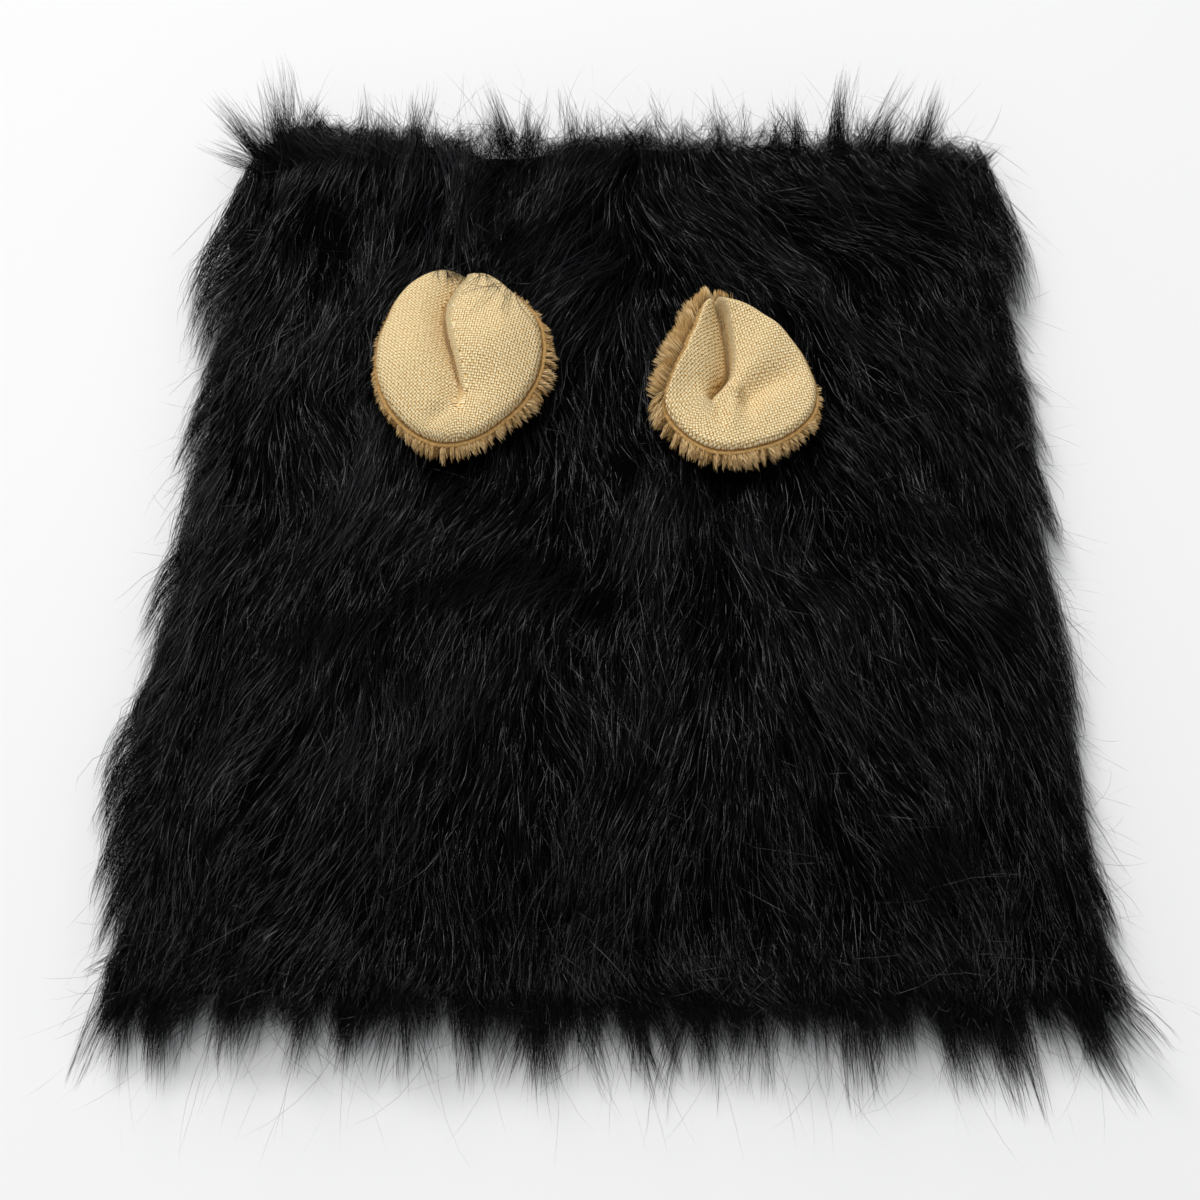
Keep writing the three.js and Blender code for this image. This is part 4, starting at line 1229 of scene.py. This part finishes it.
def under_pile(rng, material):
    """The pile of the under side, pressed flat, which shows at the sides and under the fringe."""
    count = UNDER_STRANDS
    y = NECK_Y + rng.uniform(0, 1, count) ** 1.25 * (FACE_Y - NECK_Y)
    u = np.sign(rng.uniform(-1, 1, count)) * rng.uniform(0, 1, count) ** 0.7
    x = middle(y) + u * (half_width(y) + 1)
    stray = rng.uniform(0, 1, count) < STRAYS["under"]
    length = STRAND_LENGTH * (rng.uniform(0.75, 1.0, count) - at_neck(y) * rng.uniform(0.3, 0.6, count))
    px, py, _, _ = comb(rng, x, y, length, stray)
    px, py = to_clumps(px, py, rng.uniform(0.5, 1.3, count))
    depth = rng.uniform(0.1, 1, count)[:, None] * (1 - 0.55 * STEPS)
    fold = np.sqrt(np.clip(1 - u * u, 0, 1))[:, None]
    root_z = FOLD_Z - fold * (SLEEVE_HALF_HEIGHT + 0.6)
    pz = UNDER_REST_Z + (root_z - UNDER_REST_Z) * depth * (1 - smooth(STEPS, 0, 1) * 0.5)
    pz += np.where(stray, rng.uniform(0, 6, count), 0)[:, None] * STEPS
    widths = STRAND_WIDTH * 1.3 * rng.uniform(0.7, 1.2, count)
    return split_pieces(rng, "pile_back", lay(px, py, pz), widths, material, "mane_fur_back")


def neck_tufts(rng):
    """The long points of the fringe, which carry each clump on past the pile around it."""
    points = []
    for clump in NECK_CLUMPS:
        row = dict(length=38 + 0.5 * clump["reach"], lift=-17.0, gather=rng.uniform(0.45, 0.95))
        n = int(120 + 4 * clump["reach"])
        x = clump["x"] + rng.normal(0, rng.uniform(2, 4), n)
        y = NECK_Y + 24 * rng.uniform(0, 1, n) ** 1.3
        z = FOLD_Z + rng.uniform(-0.4, 0.8, n) * (pile_top(x, y) - FOLD_Z)
        points.append(tuft(rng, row, np.stack([x, y, z], 1), math.pi - math.radians(clump["turn"])))
    return points


def hem_tufts(rng):
    """The tufts that stand out past the hem."""
    tufts = []
    for row in HEM_TUFTS:
        n = row["strands"]
        x = row["x"] + rng.normal(0, 1, n) * row["spread"]
        x = np.clip(x, FACE_MIDDLE_X - FACE_HALF_WIDTH - 12, FACE_MIDDLE_X + FACE_HALF_WIDTH + 12)
        y = FACE_Y + rng.uniform(-9, 2, n)
        z = FOLD_Z + rng.uniform(0.1, 0.8, n) * (pile_top(x, y) - FOLD_Z)
        tufts.append(tuft(rng, row, np.stack([x, y, z], 1), math.radians(row["lean"])))
    return tufts


def side_tufts(rng):
    """The tufts that stand out past the side edges."""
    tufts = []
    for row in SIDE_TUFTS:
        n = row["strands"]
        y = np.clip(row["y"] + rng.normal(0, 1, n) * row["spread"], NECK_Y, FACE_Y)
        x = middle(y) + row["side"] * (half_width(y) + PILE_SIDE * rng.uniform(0.1, 0.75, n))
        z = FOLD_Z + rng.uniform(-0.4, 0.7, n) * 12
        heading = math.pi - row["side"] * math.radians(row["lean"])
        tufts.append(tuft(rng, dict(row, lift=8.0), np.stack([x, y, z], 1), heading))
    return tufts


def hem_fuzz(rng):
    """Short fuzz all along the hem."""
    tufts = []
    for place in np.arange(-FACE_HALF_WIDTH - 6, FACE_HALF_WIDTH + 8, 5.0) + FACE_MIDDLE_X:
        n = FUZZ_PER_PLACE
        x = place + rng.normal(0, 4, n)
        y = FACE_Y + rng.uniform(-6, 2, n) + 0.5 * hem_bulge(place)
        z = FOLD_Z + rng.uniform(0.0, 0.95, n) * (pile_top(x, y) - FOLD_Z)
        row = dict(length=rng.uniform(13, 32), lift=rng.uniform(5, 40), gather=rng.uniform(0, 0.5))
        tufts.append(tuft(rng, row, np.stack([x, y, z], 1), math.radians(rng.normal(0, 32))))
    return tufts


def edge_tufts(rng, material):
    """All tufts past the edges: along the hem, the sides and the neck, and the hem's fuzz."""
    spines = np.concatenate(hem_tufts(rng) + side_tufts(rng) + neck_tufts(rng) + hem_fuzz(rng))
    in_fringe = spines[:, 0, 1] < NECK_Y + 30
    widths = STRAND_WIDTH * rng.uniform(0.65, 1.2, len(spines)) * np.where(in_fringe, 1.4, 1.0)
    return split_pieces(rng, "pile_edges", spines, widths, material)


def flyaways(rng, material):
    """Single long fine hairs that leave the pile at its edges."""
    n = FLYAWAYS
    y = np.where(rng.uniform(0, 1, n) < 0.35, FACE_Y, rng.uniform(NECK_Y, FACE_Y, n))
    y = np.where(rng.uniform(0, 1, n) < 0.38, NECK_Y, y)
    at_face, at_neck_edge = y == FACE_Y, y == NECK_Y
    u = np.where(at_face | at_neck_edge, rng.uniform(-1, 1, n), np.sign(rng.uniform(-1, 1, n)))
    x = middle(y) + u * (half_width(y) + 6)
    outward = np.arctan2(np.where(np.abs(u) < 1, 0.35 * u, u), np.where(at_face, 1.0, -1.0))
    angle = outward + np.radians(rng.normal(0, 32, n))
    lift = np.radians(rng.uniform(0, 34, n))
    share = np.where(at_neck_edge, 1.4, np.where(at_face, 1.0, 0.6))
    length = share * (22 + 36 * rng.uniform(0, 1, n) ** 1.6)
    bend = np.radians(rng.normal(0, 38, n))
    t = np.linspace(0, 1, 7)
    turning = angle[:, None] + bend[:, None] * t**1.3
    reach = np.diff(t, prepend=0.0) * (length * np.cos(lift))[:, None]
    px = x[:, None] + np.cumsum(np.sin(turning) * reach, axis=1)
    py = y[:, None] + np.cumsum(np.cos(turning) * reach, axis=1)
    rise = length[:, None] * np.sin(lift)[:, None] * t * (1 - 0.4 * t)
    pz = FOLD_Z + rng.uniform(-2, 8, n)[:, None] + rise
    return split_pieces(rng, "pile_flyaways", lay(px, py, pz), np.full(n, FLYAWAY_WIDTH), material)


# Hairs over the left ear: places from its middle, and how much lower they start towards +X
HAIRS_OVER_EAR = table(
    "x y across fall count length",
    (14, 36, 10, -0.85, 18, 24),
    (-6, 48, 7, 0.1, 60, 9),
)


def fur_over_left_ear(rng, material):
    """Fine black hairs that lie over the left ear's right lobe, and short ones over its rim."""
    rows = [row for row in HAIRS_OVER_EAR for _ in range(row["count"])]
    count = len(rows)
    x, y, across, fall, length = (column(rows, name) for name in ("x", "y", "across", "fall", "length"))
    aside = rng.uniform(-1, 1, count) * across
    start_x = LEFT_EAR["x"] + x + aside
    start_y = LEFT_EAR["y"] + y + fall * aside + rng.uniform(-3, 4, count)
    heading = np.radians(rng.normal(-4, 30, count))
    steps = np.linspace(0, 1, 6)
    run = (length * rng.uniform(0.5, 1.2, count))[:, None] * steps
    turning = heading[:, None] + np.radians(rng.normal(0, 30, count))[:, None] * steps
    px = start_x[:, None] + np.sin(turning) * run
    py = start_y[:, None] - np.cos(turning) * run
    dx, dy = px - LEFT_EAR["x"], py - LEFT_EAR["y"]
    angle = np.arctan2(dy, dx)
    share = np.clip(np.hypot(dx, dy) / round_the_ear(LEFT_EAR, angle, "seam"), 0, 1)
    pz = ear_surface(LEFT_EAR, angle, share)[..., 2] + 0.9 + 1.2 * np.sin(np.pi * steps)
    piece = strand_piece(
        "hairs_over_ear", np.stack([px, py, pz], -1), np.full(count, 0.22), np.full(count, 0.1),
        rng.uniform(-0.5, 0.5, count), np.zeros(count), material,
    )
    return dress(piece, "long_fur")


# The setting, in metres and watts
LIGHTS = table(
    "name place size power colour",
    ("window", (-1.375, 3.0, 3.75), 2.0, 112, (1.0, 0.99, 0.975)),
    ("fill", (-0.3, 0.15, 2.0), 1.2, 16.5, (1.0, 0.99, 0.98)),
)
# Degrees over the surface, metres from the mane, the aim's height in millimetres and the lens
CAMERA = dict(elevation=68, distance=1.06, aim_z=20.0, lens=75, sensor=36)


def floor():
    size = 3.0
    mesh = bpy.data.meshes.new("floor")
    corners = [(-size, -size, 0), (size, -size, 0), (size, size, 0), (-size, size, 0)]
    mesh.from_pydata(corners, [], [(0, 1, 2, 3)])
    made, _, shader = new_material("floor_paper")
    shader.inputs["Base Color"].default_value = (0.86, 0.86, 0.865, 1)
    shader.inputs["Roughness"].default_value = 0.95
    shader.inputs["Specular IOR Level"].default_value = 0.1
    mesh.materials.append(made)
    add_object("floor", mesh)


def lights():
    world = bpy.data.worlds.new("studio")
    bpy.context.scene.world = world
    world.use_nodes = True
    background = world.node_tree.nodes["Background"]
    background.inputs["Color"].default_value = (0.96, 0.98, 1.0, 1)
    background.inputs["Strength"].default_value = 0.41
    for row in LIGHTS:
        data = bpy.data.lights.new(row["name"], "AREA")
        data.shape = "DISK"
        data.size = row["size"]
        data.energy = row["power"]
        data.color = row["colour"]
        light = add_object(row["name"], data)
        light.location = row["place"]
        light.rotation_euler = (-Vector(row["place"])).to_track_quat("-Z", "Y").to_euler()


def camera():
    """The photograph's view: from above the neck end."""
    elevation = math.radians(CAMERA["elevation"])
    target = Vector((TO_FRAME + np.array([0, 0, CAMERA["aim_z"]])) * MM)
    data = bpy.data.cameras.new("camera")
    data.lens = CAMERA["lens"]
    data.sensor_width = CAMERA["sensor"]
    eye = add_object("camera", data)
    eye.location = target + CAMERA["distance"] * Vector((0, -math.cos(elevation), math.sin(elevation)))
    eye.rotation_euler = (math.pi / 2 - elevation, 0, 0)
    bpy.context.scene.camera = eye


camera()
lights()
floor()
bpy.context.scene.view_settings.view_transform = "Standard"

rng = np.random.default_rng(SEED)
# The fur's pale end, slightly blue, is partly painted sheen; its dark end is the strands' own black
FUR = fur_material(
    "long_fur", (0.0001, 0.0001, 0.0002), (0.0017, 0.0018, 0.0021), (0.034, 0.035, 0.0395), 0.22, 0.2
)
PLUSH_PILE = fur_material("plush_pile", (0.26, 0.13, 0.035), (0.56, 0.34, 0.12), (0.92, 0.68, 0.36), 0.8, 0.2)
UNDERFUR = noise_material(
    "underfur", [(0.3, (0.0005, 0.0005, 0.0006)), (0.8, (0.002, 0.002, 0.0023))],
    scale=900, roughness=0.9, specular=0.0, bump_strength=0.6, bump_distance=0.001,
)
KNIT = noise_material(
    "backing_knit", [(0.3, (0.006, 0.006, 0.0065)), (0.75, (0.018, 0.018, 0.02))],
    scale=1400, roughness=0.95, specular=0.06, bump_strength=0.5, bump_distance=0.0004,
)
PLUSH = noise_material(
    "plush_base", [(0.3, (0.34, 0.19, 0.06)), (0.75, (0.58, 0.37, 0.15))],
    scale=700, roughness=0.95, specular=0.06, bump_strength=0.8, bump_distance=0.0008,
)
WOVEN = weave_material()

sleeve = backing(KNIT)
fur = [undercoat(UNDERFUR)]
fur += front_pile(rng, FUR)
fur += hem_roll(rng, FUR)
fur += side_pile(rng, FUR)
fur += under_pile(rng, FUR)
fur += edge_tufts(rng, FUR)
fur += flyaways(rng, FUR)
fur.append(fur_over_left_ear(rng, FUR))
for ear in EARS:
    cloth = ear_cloth(ear, WOVEN)
    ear_plush(ear, PLUSH)
    ear_tufts(ear, rng, PLUSH_PILE)
    seam_roll(ear, PLUSH)
